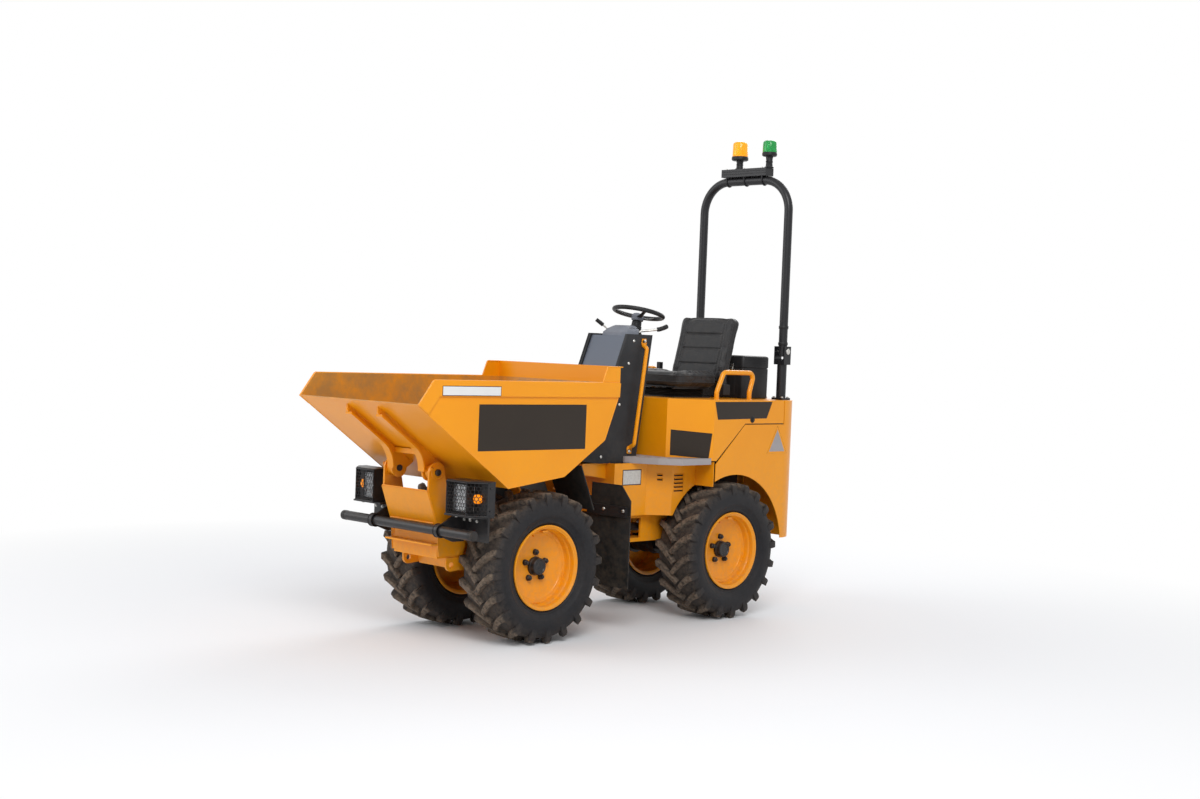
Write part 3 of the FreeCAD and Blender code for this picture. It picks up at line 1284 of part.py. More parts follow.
def steering_wheel():
    lean = math.radians(float(D.wheel_lean))
    along = V(0, math.sin(lean), math.cos(lean))
    centre = V(0, float(D.wheel_back), float(D.wheel_height))
    radius, grip = float(D.wheel_radius), float(D.wheel_grip)
    rim_shape = Part.makeTorus(radius - grip, grip, centre, along)
    hub_low = centre - along * 44
    hub_shape = Part.makeCylinder(34, 40, hub_low, along)
    shape = rim_shape.fuse(hub_shape)
    side = V(1, 0, 0)
    for angle in (90, 210, 330):
        turn = FreeCAD.Rotation(along, angle)
        outward = turn.multVec(side)
        start = hub_low + along * 20 + outward * 20
        end = centre + outward * (radius - grip)
        spoke = Part.makeCylinder(9, (end - start).Length, start, end - start)
        shape = shape.fuse(spoke)
    bore = Part.makeCylinder(11 + float(D.running), 30, hub_low - along * 1, along)
    made = add("Part::Feature", "steering_wheel")
    made.Shape = shape.cut(bore).removeSplitter()
    return node(made)


# Seat and deck

def seat():
    half, front = D.seat_half, D.seat_front
    floor = D.seat_floor
    base = block("seat_base", (-160, front + 30, D.deck_top + D.gap), (160, front + 340, floor - D.gap))
    node(base)
    cushion = plate("seat_cushion", "YZ_Plane", [
        (front, floor), (front, floor + D.seat_height - 12), (front + 30, floor + D.seat_height),
        (front + D.seat_length, floor + D.seat_height - 8), (front + D.seat_length, floor)], -half, half * 2)
    node(cushion)
    start = front + D.seat_length + D.gap
    back = plate("seat_back", "YZ_Plane", [
        (start, floor), (start, floor + 80), (start + 70, 1640), (start + 110, 1698), (start + 158, 1690),
        (start + 176, 1640), (start + 100, floor + 100), (start + 70, floor)], -half + 10, half * 2 - 20)
    return node(back)


def toolbox():
    front = D.toolbox_front
    made = block("toolbox", (-D.toolbox_half, front, D.deck_top + D.gap),
                 (D.toolbox_half, front + D.toolbox_length, D.deck_top + D.toolbox_height))
    return node(made)


def deck_rails():
    x, foot = D.rail_side, D.deck_top
    rail = tube("deck_rail", [
        (x, 546, foot + D.gap), (x, 546, 1262), (x, 600, 1372), (x, 862, 1372), (x, 826, 1262),
        (x, 826, foot + D.gap)], D.rail_radius, 32)
    return node(group("deck_rails", pair(rail)))


# Rollover bar

def posts():
    x, y = D.post_side, D.post_back
    foot = D.deck_top
    post = cylinder("post", "Z", (x, y, foot), D.post_radius, D.fold_height - 44 - foot)
    base = block("post_base", (x - 32, y - 45, foot), (x + 46, y + 30, foot + 12))
    ear = D.free_gap + D.hoop_radius
    cheeks = []
    for name, start in (("inner", x - ear - 8), ("outer", x + ear)):
        cheek = plate(f"post_cheek_{name}", "YZ_Plane", [
            (y - 30, D.fold_height - 76), (y + 30, D.fold_height - 76), (y + 30, D.fold_height + 30),
            (y - 30, D.fold_height + 30)], start, 8, [(y, D.fold_height, D.fold_pin_radius + D.running)])
        cheeks.append(cheek)
    cap = block("post_cap", (x - ear - 8, y - 30, D.fold_height - 76), (x + ear + 8, y + 30, D.fold_height - 44))
    side = fused("post_left", [post, base, cap] + cheeks)
    return node(group("rops_posts", pair(side)))


def hoop():
    x, y, low, top = D.post_side, D.post_back, D.fold_height - 30, D.hoop_top
    bar = tube("hoop_tube", [(-x, y, low), (-x, y, top), (x, y, top), (x, y, low)], D.hoop_radius, D.hoop_bend)
    bores = [cylinder(f"hoop_bore_{name}", "X", (place_x - 40, y, D.fold_height), D.fold_pin_radius + D.running, 80)
             for name, place_x in (("left", x), ("right", -x))]
    return node(cut("rops_hoop", bar, *bores))


def beacons():
    y, top = D.post_back, D.beacon_height
    crown = D.hoop_top + D.hoop_radius
    channel = block("beacon_plate", (-170, y - 36, crown + D.gap), (170, y + 36, top))
    node(channel)
    # name, place across, base radius, lens radius, lens foot, lens height
    table = [("amber", -60, 50, 46, 2648, 88), ("green", 165, 44, 42, 2662, 70)]
    bases = []
    for name, x, base_radius, lens_radius, lens_foot, lens_height in table:
        stem = cylinder(f"{name}_stem", "Z", (x, y, top + D.gap), 20, lens_foot - top - 12)
        flange = cylinder(f"{name}_base", "Z", (x, y, lens_foot - 24), base_radius, 24 - D.gap)
        bases.append(fused(f"{name}_foot", [stem, flange]))
        lens = cylinder(f"{name}_lens_body", "Z", (x, y, lens_foot), lens_radius, lens_height)
        lens.Label = f"{name}_lens"
        node(lens)
    return node(group("beacon_bases", bases))


def build():
    shape = tyre_shape()
    for name, side, along in WHEELS:
        tyre(name, side, along, shape.copy())
        rim(name, side, along)
        hub(name, side, along)
    axle("front_axle", -D.front_axle_reach, D.rail_floor)
    axle("rear_axle", D.rear_axle_reach, None)
    front_frame()
    skip_tower()
    skip_rests()
    chassis_pins()
    bumper()
    headlamps()
    lamp_guards()
    mudflaps()
    skip_shell()
    skip_rim()
    skip_ribs()
    ram("tip_ram", (0, -D.tip_ram_reach, D.tip_ram_height), (0, -D.tip_eye_reach, D.tip_eye_height),
        D.tip_barrel_radius, D.tip_barrel_end, D.tip_rod_radius, D.tip_rod_inside, D.tip_rod_room, False)
    ram("steer_ram", (D.steer_foot_side, D.steer_foot_back, D.steer_height),
        (D.steer_head_side, -D.steer_head_front, D.steer_height),
        D.steer_barrel_radius, D.steer_barrel_end, D.steer_rod_radius, D.steer_rod_inside, D.steer_rod_room, True)
    rear_frame()
    frame_pins()
    lower_housing()
    platform()
    hood()
    tail_panels()
    engine()
    console()
    grab_handles()
    column()
    steering_wheel()
    seat()
    toolbox()
    deck_rails()
    posts()
    hoop()
    beacons()


def export():
    DOC.recompute()
    os.makedirs("parts", exist_ok=True)
    for made in DOC.Objects:
        if "Invalid" in made.State or "Error" in made.State:
            raise RuntimeError(f"{made.Label} did not build: {made.State}")
    for made in NODES:
        if made.Shape.isNull() or not made.Shape.isValid():
            raise RuntimeError(f"{made.Label} has no valid shape")
    for made in NODES:
        made.Shape.exportStep(f"parts/{made.Label}.step")
        box = made.Shape.BoundBox
        print(f"{made.Label:22s} solids {len(made.Shape.Solids):2d}  "
              f"x {box.XMin:7.1f} {box.XMax:7.1f}  y {box.YMin:7.1f} {box.YMax:7.1f}  "
              f"z {box.ZMin:7.1f} {box.ZMax:7.1f}")
    print(len(NODES), "nodes")


build()
export()
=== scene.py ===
"""Dressed scene of a site dumper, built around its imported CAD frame."""

import json
import logging
import math
from collections.abc import Sequence
from dataclasses import dataclass
from enum import Enum

import bmesh
import bpy
from mathutils import Matrix, Vector
from mathutils.bvhtree import BVHTree

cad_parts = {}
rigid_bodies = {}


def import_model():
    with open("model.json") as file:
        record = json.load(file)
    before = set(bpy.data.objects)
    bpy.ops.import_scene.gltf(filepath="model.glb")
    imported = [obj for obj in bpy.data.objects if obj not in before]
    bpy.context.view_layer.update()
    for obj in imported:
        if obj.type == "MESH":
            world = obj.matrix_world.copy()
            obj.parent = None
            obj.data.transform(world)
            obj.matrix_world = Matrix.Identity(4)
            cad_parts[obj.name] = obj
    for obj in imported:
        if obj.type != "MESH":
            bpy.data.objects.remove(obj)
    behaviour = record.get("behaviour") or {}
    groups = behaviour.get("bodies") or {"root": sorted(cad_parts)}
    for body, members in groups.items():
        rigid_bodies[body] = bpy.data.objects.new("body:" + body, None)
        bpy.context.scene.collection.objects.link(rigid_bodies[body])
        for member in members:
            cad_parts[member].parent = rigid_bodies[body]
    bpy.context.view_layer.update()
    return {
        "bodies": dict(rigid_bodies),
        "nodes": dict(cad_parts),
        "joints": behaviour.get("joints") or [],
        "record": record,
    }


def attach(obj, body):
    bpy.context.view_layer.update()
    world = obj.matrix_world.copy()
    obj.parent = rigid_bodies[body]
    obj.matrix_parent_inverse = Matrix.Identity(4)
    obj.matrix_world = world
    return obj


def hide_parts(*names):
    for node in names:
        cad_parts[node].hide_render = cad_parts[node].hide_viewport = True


LOG = logging.getLogger("dumper")

PIVOT_Y = 0.188
"""Place of the articulation pivot along Y: the drawing's measures count from it."""

RIGHT, BACK, UP = Vector((1, 0, 0)), Vector((0, 1, 0)), Vector((0, 0, 1))


class Ride(Enum):
    """A CAD body that a piece moves with."""

    REAR = "rear_chassis"
    FRONT = "front_chassis"
    SKIP = "skip"
    HOOD = "hood_unit"
    BAR = "rollover_bar"
    STEERING = "steering"
    TIP_BARREL = "tip_barrel"
    STEER_BARREL = "steer_barrel"
    FRONT_LEFT = "wheel_front_left"
    FRONT_RIGHT = "wheel_front_right"
    REAR_LEFT = "wheel_rear_left"
    REAR_RIGHT = "wheel_rear_right"


class Finish(Enum):
    """A finish: its name and the record's material slot behind it."""

    YELLOW = ("yellow", "yellow_paint")
    SKIP = ("skip", "yellow_paint")
    BLACK = ("black", "black_paint")
    BLUE_GREY = ("blue_grey", "blue_grey_panel")
    DECAL = ("decal", "charcoal_panel")
    GREY_PLASTIC = ("grey_plastic", "blue_grey_panel")
    GREY = ("grey", "grey_paint")
    WHITE = ("white", "grey_paint")
    CHARCOAL = ("charcoal", "charcoal_panel")
    BLACK_PLASTIC = ("black_plastic", "charcoal_panel")
    # painted shade: a near-black finish for the shade inside slots and openings
    VOID = ("void", "charcoal_panel")
    RUBBER = ("rubber", "flap_rubber")
    TYRE = ("tyre", "tyre_rubber")
    ZINC = ("zinc", "zinc_steel")
    DARK_METAL = ("dark_metal", "zinc_steel")
    CHROME = ("chrome", "ram_chrome")
    LENS = ("lens", "clear_lens")
    # its glow is painted light: the chips of an unlit lamp glow to stand for the bright reflection in the
    # cups
    LED = ("led", "clear_lens")
    AMBER = ("amber", "amber_lens")
    GREEN = ("green", "green_lens")
    SEAT = ("seat", "seat_cover")

    @property
    def label(self) -> str:
        """The material's name."""
        return self.value[0]

    @property
    def slot(self) -> str:
        """The record's material slot."""
        return self.value[1]


# Shapes

def at(x: float, y: float, z: float) -> Vector:
    """A place on the drawing, in millimetres with Y from the pivot, as metres in the frame."""
    return Vector((x / 1000.0, y / 1000.0 + PIVOT_Y, z / 1000.0))


def aimed(spot: Vector, axis: Vector) -> Matrix:
    """A frame at a place with its Z along an axis."""
    return Matrix.Translation(spot) @ axis.to_track_quat("Z", "Y").to_matrix().to_4x4()


def set_up(spot: Vector, along: Vector, side: Vector, wide: float, deep: float) -> Matrix:
    """A cross-section's frame.

    Args:
        spot: Its centre.
        along: Direction that it is swept in.
        side: Direction of its width, before it is squared to the sweep.
        wide: Half width, in metres.
        deep: Half depth, in metres.

    Returns:
        The frame that takes a unit circle there.
    """
    along = along.normalized()
    side = (side - along * side.dot(along)).normalized()
    return (Matrix.Translation(spot) @ Matrix((side, along.cross(side), along)).transposed().to_4x4()
            @ Matrix.Diagonal((wide, deep, 1.0, 1.0)))


def rounded(corners: Sequence[Vector], bend: float, steps: int = 6) -> list[Vector]:
    """Replaces the inner corners of a line with arcs.

    Args:
        corners: Places along the line.
        bend: Radius of the arcs, in metres.
        steps: Segments of each arc.

    Returns:
        The line's places with its arcs.
    """
    made = [corners[0]]
    for before, spot, after in zip(corners, corners[1:], corners[2:]):
        inward, onward = (before - spot).normalized(), (after - spot).normalized()
        half = inward.angle(onward) / 2
        setback = bend / math.tan(half)
        centre = spot + (inward + onward).normalized() * (bend / math.sin(half))
        first, last = spot + inward * setback - centre, spot + onward * setback - centre
        axis, angle = first.rotation_difference(last).to_axis_angle()
        made += [centre + Matrix.Rotation(angle * step / steps, 3, axis) @ first
                 for step in range(steps + 1)]
    return made + [corners[-1]]


class Form:
    """A shape being built with bmesh operators, in metres in the machine's frame."""

    def __init__(self) -> None:
        """Starts an empty shape."""
        self.mesh = bmesh.new()

    def join(self, part: bmesh.types.BMesh, merge: bool = False) -> "Form":
        """Adds a finished part.

        Args:
            part: The part; it is used up.
            merge: Whether its seam and poles are still to be closed.

        Returns:
            This form.
        """
        if merge:
            bmesh.ops.remove_doubles(part, verts=part.verts[:], dist=1e-6)
        data = bpy.data.meshes.new("part")
        part.to_mesh(data)
        part.free()
        self.mesh.from_mesh(data)
        bpy.data.meshes.remove(data)
        return self

    @staticmethod
    def push(part: bmesh.types.BMesh, face: bmesh.types.BMFace, inner: bool) -> bmesh.types.BMFace:
        """Extrudes a face in place.

        Args:
            part: The mesh that it belongs to.
            face: The face.
            inner: Whether it lies inside the shape afterwards, and goes.

        Returns:
            The face at the extrusion's end.
        """
        made = bmesh.ops.extrude_face_region(part, geom=[face])["geom"]
        if inner:
            bmesh.ops.delete(part, geom=[face], context="FACES_ONLY")
        return next(item for item in made if isinstance(item, bmesh.types.BMFace))

    def prism(self, outline: Sequence[Vector], depth: Vector) -> "Form":
        """Adds a plate.

        Args:
            outline: Corners of its flat face.
            depth: The vector across it, in metres.

        Returns:
            This form.
        """
        part = bmesh.new()
        face = part.faces.new([part.verts.new(place) for place in outline])
        top = self.push(part, face, False)
        bmesh.ops.translate(part, vec=depth, verts=top.verts[:])
        return self.join(part)

    def box(self, low: Vector, high: Vector) -> "Form":
        """Adds a block.

        Args:
            low: Its lowest corner.
            high: Its highest corner.

        Returns:
            This form.
        """
        size = high - low
        bmesh.ops.create_cube(self.mesh, size=1.0,
                              matrix=Matrix.Translation((low + high) / 2) @ Matrix.Diagonal((*size, 1.0)))
        return self

    def lathe(self, outline: Sequence[tuple[float, float]], spot: Vector, axis: Vector,
              sides: int = 48) -> "Form":
        """Spins an outline about an axis; it closes on itself unless it starts and ends on the axis.

        Args:
            outline: Places as (along the axis, radius) in millimetres.
            spot: Where the axis starts.
            axis: Its direction.
            sides: Steps of the turn.

        Returns:
            This form.
        """
        part = bmesh.new()
        frame = aimed(spot, axis)
        verts = [part.verts.new(frame @ Vector((radius / 1000.0, 0, along / 1000.0)))
                 for along, radius in outline]
        edges = [part.edges.new(ends) for ends in zip(verts, verts[1:])]
        if outline[0][1] > 0:
            edges.append(part.edges.new((verts[-1], verts[0])))
        bmesh.ops.spin(part, geom=verts + edges, cent=spot, axis=axis, dvec=(0, 0, 0), angle=math.tau,
                       steps=sides, use_merge=True)
        return self.join(part, merge=True)

    def rod(self, start: Vector, end: Vector, radius: float, sides: int = 20,
            chamfer: float = 0.0) -> "Form":
        """Adds a round bar.

        Args:
            start: Middle of its first end.
            end: Middle of its last end.
            radius: Its radius, in metres.
            sides: Corners of its cross-section.
            chamfer: Width of the cut round its ends, in metres.

        Returns:
            This form.
        """
        along = (end - start).length
        if chamfer:
            wide, cut, far = radius * 1000.0, chamfer * 1000.0, along * 1000.0
            return self.lathe([(0, 0), (0, wide - cut), (cut, wide), (far - cut, wide), (far, wide - cut),
                               (far, 0)], start, end - start, sides)
        bmesh.ops.create_cone(self.mesh, cap_ends=True, cap_tris=False, segments=sides, radius1=radius,
                              radius2=radius, depth=along, matrix=aimed((start + end) / 2, end - start))
        return self

    def bolt(self, seat: Vector, axis: Vector, size: float = 8.0, washer: bool = True) -> "Form":
        """Adds a hexagon head.

        Args:
            seat: Where the washer or head stands.
            axis: Direction out of the seat.
            size: The thread, in millimetres.
            washer: Whether it has a washer.

        Returns:
            This form.
        """
        foot = size * 0.18 if washer else 0.0
        if washer:
            self.lathe([(0, size * 0.4), (0, size * 1.1), (foot, size * 1.1), (foot, size * 0.4)], seat,
                       axis, 24)
        return self.lathe([(foot, 0), (foot, size * 0.92), (foot + size * 0.55, size * 0.92),
                           (foot + size * 0.68, size * 0.74), (foot + size * 0.68, 0)], seat, axis, 6)

    def sweep(self, frames: Sequence[Matrix], sides: int = 12, closed: bool = False) -> "Form":
        """Extrudes a circle through a row of frames.

        Args:
            frames: Where each cross-section stands, with its half width and depth as scale.
            sides: Corners of the cross-section.
            closed: Whether the last frame leads back to the first.

        Returns:
            This form.
        """
        part = bmesh.new()
        bmesh.ops.create_circle(part, cap_ends=True, cap_tris=False, segments=sides, radius=1.0,
                                matrix=frames[0])
        first = face = part.faces[:][0]
        path = list(frames) + ([frames[0]] if closed else [])
        for number, (old, new) in enumerate(zip(path, path[1:])):
            face = self.push(part, face, number > 0)
            bmesh.ops.transform(part, matrix=new @ old.inverted(), verts=face.verts[:])
        if closed:
            bmesh.ops.delete(part, geom=[first, face], context="FACES_ONLY")
        return self.join(part, merge=closed)

    def pipe(self, line: Sequence[Vector], radius: float, sides: int = 12, swell: float = 0.0) -> "Form":
        """Adds a round bar along a line.

        Args:
            line: Places along its middle.
            radius: Its radius, in metres.
            sides: Corners of its cross-section.
            swell: Share by which every second section is thicker.

        Returns:
            This form.
        """
        frames, side = [], (line[1] - line[0]).orthogonal()
        for index, spot in enumerate(line):
            way = line[min(len(line) - 1, index + 1)] - line[max(0, index - 1)]
            size = radius * (1.0 + swell * (index % 2))
            frames.append(set_up(spot, way, side, size, size))
            side = frames[-1].col[0].to_3d()
        return self.sweep(frames, sides)

    def bead(self, start: Vector, end: Vector, radius: float) -> "Form":
        """A rippled weld between two places."""
        count = max(2, int((end - start).length / 0.006))
        return self.pipe([start.lerp(end, step / count) for step in range(count + 1)], radius, 8, 0.14)

    def stack(self, levels: Sequence[tuple[float, ...]], corner: float) -> "Form":
        """A block with rounded corners whose size changes with its height.

        Args:
            levels: Rows of (height, low x, high x, low y, high y) in millimetres.
            corner: Radius of the corners at the foot.

        Returns:
            This form.
        """
        part = bmesh.new()
        height, left, right, front, end = levels[0]
        part.faces.new([part.verts.new(at(x, y, height))
                        for x, y in ((left, front), (right, front), (right, end), (left, end))])
        bmesh.ops.bevel(part, geom=part.verts[:], offset=corner / 1000.0, segments=5, profile=0.5,
                        affect="VERTICES", material=-1)
        face = part.faces[:][0]
        for number, (old, new) in enumerate(zip(levels, levels[1:])):
            face = self.push(part, face, number > 0)
            before, after = ((at((row[1] + row[2]) / 2, (row[3] + row[4]) / 2, row[0]),
                              (row[2] - row[1], row[4] - row[3])) for row in (old, new))
            scale = Matrix.Diagonal((after[1][0] / before[1][0], after[1][1] / before[1][1], 1.0, 1.0))
            bmesh.ops.transform(part, matrix=Matrix.Translation(after[0]) @ scale
                                @ Matrix.Translation(-before[0]), verts=face.verts[:])
        return self.join(part)

    def mirror(self) -> "Form":
        """Adds the same shape on the machine's other side.

        Returns:
            This form.
        """
        mesh = self.mesh
        bmesh.ops.mirror(mesh, geom=mesh.verts[:] + mesh.edges[:] + mesh.faces[:], matrix=Matrix(),
                         merge_dist=-1, axis="X")
        return self


# Finishes

Socket = bpy.types.NodeSocket
Colour = tuple[float, float, float]

DUST = (0.30, 0.215, 0.14)
"""Dry earth."""


class Tree:
    """Builds a material's nodes with short calls."""

    def __init__(self, kind: Finish | str) -> None:
        """Starts a material with a plain shader.

        Args:
            kind: The finish that it is for, or its name.
        """
        self.material = bpy.data.materials.new(kind if isinstance(kind, str) else kind.label)
        self.material.use_nodes = True
        self.tree = self.material.node_tree
        self.tree.nodes.clear()
        self.output = self.node("ShaderNodeOutputMaterial")
        self.shader = self.node("ShaderNodeBsdfPrincipled")
        self.link(self.shader.outputs["BSDF"], self.output.inputs["Surface"])
        self.place = self.node("ShaderNodeTexCoord").outputs["Object"]

    def node(self, kind: str, **settings: object) -> bpy.types.Node:
        """Adds a node.

        Args:
            kind: Its type.
            settings: Its properties and their values.

        Returns:
            The node.
        """
        made = self.tree.nodes.new(kind)
        for name, value in settings.items():
            setattr(made, name, value)
        return made

    def link(self, source: Socket, target: Socket) -> None:
        """Joins an output to an input."""
        self.tree.links.new(source, target)

    def put(self, target: Socket, value: Socket | Colour | float) -> None:
        """Sets an input.

        Args:
            target: The input.
            value: A number, a colour or another node's output.
        """
        if isinstance(value, bpy.types.NodeSocket):
            self.link(value, target)
        elif isinstance(value, (tuple, list)) and len(value) == 3 and target.type == "RGBA":
            target.default_value = (*value, 1.0)
        else:
            target.default_value = value

    def noise(self, scale: float, detail: float = 4.0, rough: float = 0.5,
              stretch: tuple[float, ...] = (1, 1, 1)) -> Socket:
        """Adds noise on object coordinates.

        Args:
            scale: Blotches in each metre.
            detail: Octaves.
            rough: Share of the fine octaves.
            stretch: Scale along X, Y and Z.

        Returns:
            Its value from 0 to 1.
        """
        place = self.place
        if stretch != (1, 1, 1):
            mapping = self.node("ShaderNodeMapping")
            mapping.inputs["Scale"].default_value = stretch
            self.link(place, mapping.inputs["Vector"])
            place = mapping.outputs["Vector"]
        made = self.node("ShaderNodeTexNoise")
        self.link(place, made.inputs["Vector"])
        for name, value in (("Scale", scale), ("Detail", detail), ("Roughness", rough)):
            made.inputs[name].default_value = value
        return made.outputs["Fac"]

    def cells(self, scale: float) -> Socket:
        """Adds a cell pattern on object coordinates.

        Args:
            scale: Cells in each metre.

        Returns:
            The distance to a cell's middle.
        """
        made = self.node("ShaderNodeTexVoronoi")
        self.link(self.place, made.inputs["Vector"])
        made.inputs["Scale"].default_value = scale
        return made.outputs["Distance"]

    def ramp(self, source: Socket, low: float, high: float, out_low: float = 0.0,
             out_high: float = 1.0) -> Socket:
        """Maps a range of a value onto another and clamps it.

        Args:
            source: The value.
            low: Start of its range.
            high: End of its range.
            out_low: What the start becomes.
            out_high: What the end becomes.

        Returns:
            The new value.
        """
        made = self.node("ShaderNodeMapRange")
        self.put(made.inputs["Value"], source)
        for name, value in (("From Min", low), ("From Max", high), ("To Min", out_low),
                            ("To Max", out_high)):
            made.inputs[name].default_value = value
        return made.outputs["Result"]

    def math(self, operation: str, first: Socket | float, second: Socket | float = 0.0) -> Socket:
        """Adds one arithmetic step.

        Args:
            operation: Its name in Blender.
            first: First number.
            second: Second number.

        Returns:
            The result.
        """
        made = self.node("ShaderNodeMath", operation=operation)
        self.put(made.inputs[0], first)
        self.put(made.inputs[1], second)
        return made.outputs[0]

    def times(self, first: Socket, second: Socket | float) -> Socket:
        """The product of two values."""
        return self.math("MULTIPLY", first, second)

    def mix(self, share: Socket | float, first: Socket | Colour, second: Socket | Colour) -> Socket:
        """Mixes two colours.

        Args:
            share: Share of the second one.
            first: First colour.
            second: Second colour.

        Returns:
            The mixed colour.
        """
        made = self.node("ShaderNodeMix", data_type="RGBA")
        self.put(made.inputs["Factor"], share)
        self.put(made.inputs[6], first)
        self.put(made.inputs[7], second)
        return made.outputs[2]

    def parts(self, source: Socket) -> bpy.types.NodeOutputs:
        """Splits a vector.

        Args:
            source: The vector.

        Returns:
            Its X, Y and Z.
        """
        made = self.node("ShaderNodeSeparateXYZ")
        self.link(source, made.inputs[0])
        return made.outputs

    def height(self) -> Socket:
        """Height above the ground, in metres."""
        return self.parts(self.place)["Z"]

    def normal(self) -> bpy.types.NodeOutputs:
        """The surface's direction as X, Y and Z."""
        return self.parts(self.node("ShaderNodeNewGeometry").outputs["Normal"])

    def upward(self) -> Socket:
        """How much the surface faces up, from -1 to 1."""
        return self.normal()["Z"]

    def inward(self) -> Socket:
        """Finds the faces of an open bin that look into it or up.

        Returns:
            One on these faces.
        """
        normal, spot = self.normal(), self.parts(self.place)
        up = self.math("GREATER_THAN", normal["Z"], 0.15)
        side = self.math("LESS_THAN", self.times(self.math("SIGN", spot["X"]), normal["X"]), -0.5)
        rear = self.times(self.math("LESS_THAN", normal["Y"], -0.9),
                          self.math("GREATER_THAN", spot["Y"], -0.5))
        return self.math("MAXIMUM", self.math("MAXIMUM", up, side), rear)

    def film(self, fine: Socket, top: float, edge: float = 0.5) -> Socket:
        """Dust that gathers low down and on faces that look up.

        Args:
            fine: Noise that breaks it up.
            top: Height where the low dust ends, in metres.
            edge: Share on faces that look up.

        Returns:
            Its share of the surface.
        """
        low = self.ramp(self.height(), 0.12, top, 1.0, 0.0)
        up = self.ramp(self.upward(), 0.35, 1.0, 0.0, edge)
        return self.times(self.math("ADD", low, up), self.ramp(fine, 0.38, 0.72))

    def bump(self, height: Socket, strength: float, distance: float) -> None:
        """Roughens the surface.

        Args:
            height: Its height from 0 to 1.
            strength: Share of it that shows.
            distance: The full height, in metres.
        """
        made = self.node("ShaderNodeBump")
        made.inputs["Strength"].default_value = strength
        made.inputs["Distance"].default_value = distance
        self.link(height, made.inputs["Height"])
        self.link(made.outputs["Normal"], self.shader.inputs["Normal"])

    def set(self, **values: object) -> None:
        """Sets the shader's inputs; an underscore stands for a space."""
        for name, value in values.items():
            self.put(self.shader.inputs[name.replace("_", " ")], value)


def shade(colour: Colour, factor: float, lift: float = 0.0) -> Colour:
    """A colour times a factor, raised by a lift."""
    return tuple(min(1.0, part * factor + lift) for part in colour)


@dataclass(frozen=True)
class Paint:
    """Sprayed or powder-coated sheet with dust and small scuffs."""

    kind: Finish
    colour: Colour
    deep: Colour
    roughness: float = 0.34
    coat: float = 0.25
    dust: float = 0.45
    dust_top: float = 1.05
    scuffs: float = 0.25
    gloss: float = 0.3
    load_side: bool = False

    def build(self) -> bpy.types.Material:
        """Makes the material.

        Returns:
            The material.
        """
        t = Tree(self.kind)
        body = t.mix(t.ramp(t.noise(2.2, 5.0), 0.3, 0.75), self.colour, self.deep)
        if self.load_side:
            body = t.mix(t.times(t.inward(), t.ramp(t.noise(5.0, 8.0, 0.7), 0.35, 0.6, 0.25, 0.85)),
                         body, (0.36, 0.20, 0.07))
        fine = t.noise(38.0, 6.0, 0.65)
        film = t.times(t.film(fine, self.dust_top), self.dust)
        scratch = t.ramp(t.noise(16.0, 9.0, 0.75, (1.0, 1.0, 5.0)), 0.60, 0.72, 0.0, self.scuffs)
        body = t.mix(scratch, body, shade(self.deep, 0.55, 0.05))
        t.set(Base_Color=t.mix(film, body, DUST), Coat_Weight=self.coat, Coat_Roughness=0.12,
              Specular_IOR_Level=self.gloss,
              Roughness=t.ramp(t.math("ADD", film, t.ramp(fine, 0.2, 0.8, 0.0, 0.12)), 0.0, 0.8,
                               self.roughness, 0.85))
        t.bump(t.noise(260.0, 2.0), 0.05, 0.0006)
        return t.material


@dataclass(frozen=True)
class Moulded:
    """Grained plastic or rubber."""

    kind: Finish
    colour: Colour
    roughness: float = 0.6
    grain: float = 420.0
    grain_depth: float = 0.25
    dust: float = 0.35
    dust_top: float = 1.1

    def build(self) -> bpy.types.Material:
        """Makes the material.

        Returns:
            The material.
        """
        t = Tree(self.kind)
        film = t.times(t.film(t.noise(30.0, 6.0, 0.6), self.dust_top), self.dust)
        body = t.mix(t.ramp(t.noise(5.0, 4.0), 0.35, 0.7), self.colour, shade(self.colour, 1.5, 0.01))
        t.set(Base_Color=t.mix(film, body, DUST), Roughness=t.ramp(film, 0.0, 0.6, self.roughness, 0.9),
              Specular_IOR_Level=0.25)
        t.bump(t.cells(self.grain), self.grain_depth, 0.0008)
        return t.material


@dataclass(frozen=True)
class Tread:
    """Tyre rubber: dry earth on the lugs' tops and in the grooves, dark sidewalls."""

    kind: Finish
    dark: Colour = (0.008, 0.008, 0.0095)
    soil: Colour = (0.22, 0.165, 0.12)

    def build(self) -> bpy.types.Material:
        """Makes the material.

        Returns:
            The material.
        """
        t = Tree(self.kind)
        worn = t.node("ShaderNodeAttribute", attribute_name="worn").outputs["Fac"]
        fine = t.noise(42.0, 7.0, 0.7)
        earth = t.times(worn, t.ramp(fine, 0.34, 0.56, 0.12, 0.92))
        haze = t.ramp(t.noise(7.0, 4.0), 0.35, 0.75, 0.0, 0.05)
        film = t.math("MAXIMUM", earth, haze)
        rubber = t.mix(t.ramp(fine, 0.3, 0.7), self.dark, shade(self.dark, 1.9))
        soil = t.mix(t.ramp(t.noise(60.0, 5.0), 0.3, 0.7), shade(self.soil, 0.6), self.soil)
        t.set(Base_Color=t.mix(film, rubber, soil), Roughness=t.ramp(film, 0.0, 0.7, 0.55, 0.95),
              Specular_IOR_Level=0.25)
        t.bump(t.noise(120.0, 6.0, 0.6), 0.35, 0.0015)
        return t.material


@dataclass(frozen=True)
class Metal:
    """Bare or plated metal."""

    kind: Finish
    colour: Colour
    roughness: float = 0.35
    variation: float = 0.2

    def build(self) -> bpy.types.Material:
        """Makes the material.

        Returns:
            The material.
        """
        t = Tree(self.kind)
        fine = t.noise(90.0, 5.0, 0.6)
        t.set(Base_Color=t.mix(t.ramp(fine, 0.3, 0.7), self.colour,
                               shade(self.colour, 1.0 - self.variation)), Metallic=1.0,
              Roughness=t.ramp(fine, 0.25, 0.8, self.roughness * 0.8, self.roughness * 1.4))
        t.bump(fine, 0.08, 0.0005)
        return t.material


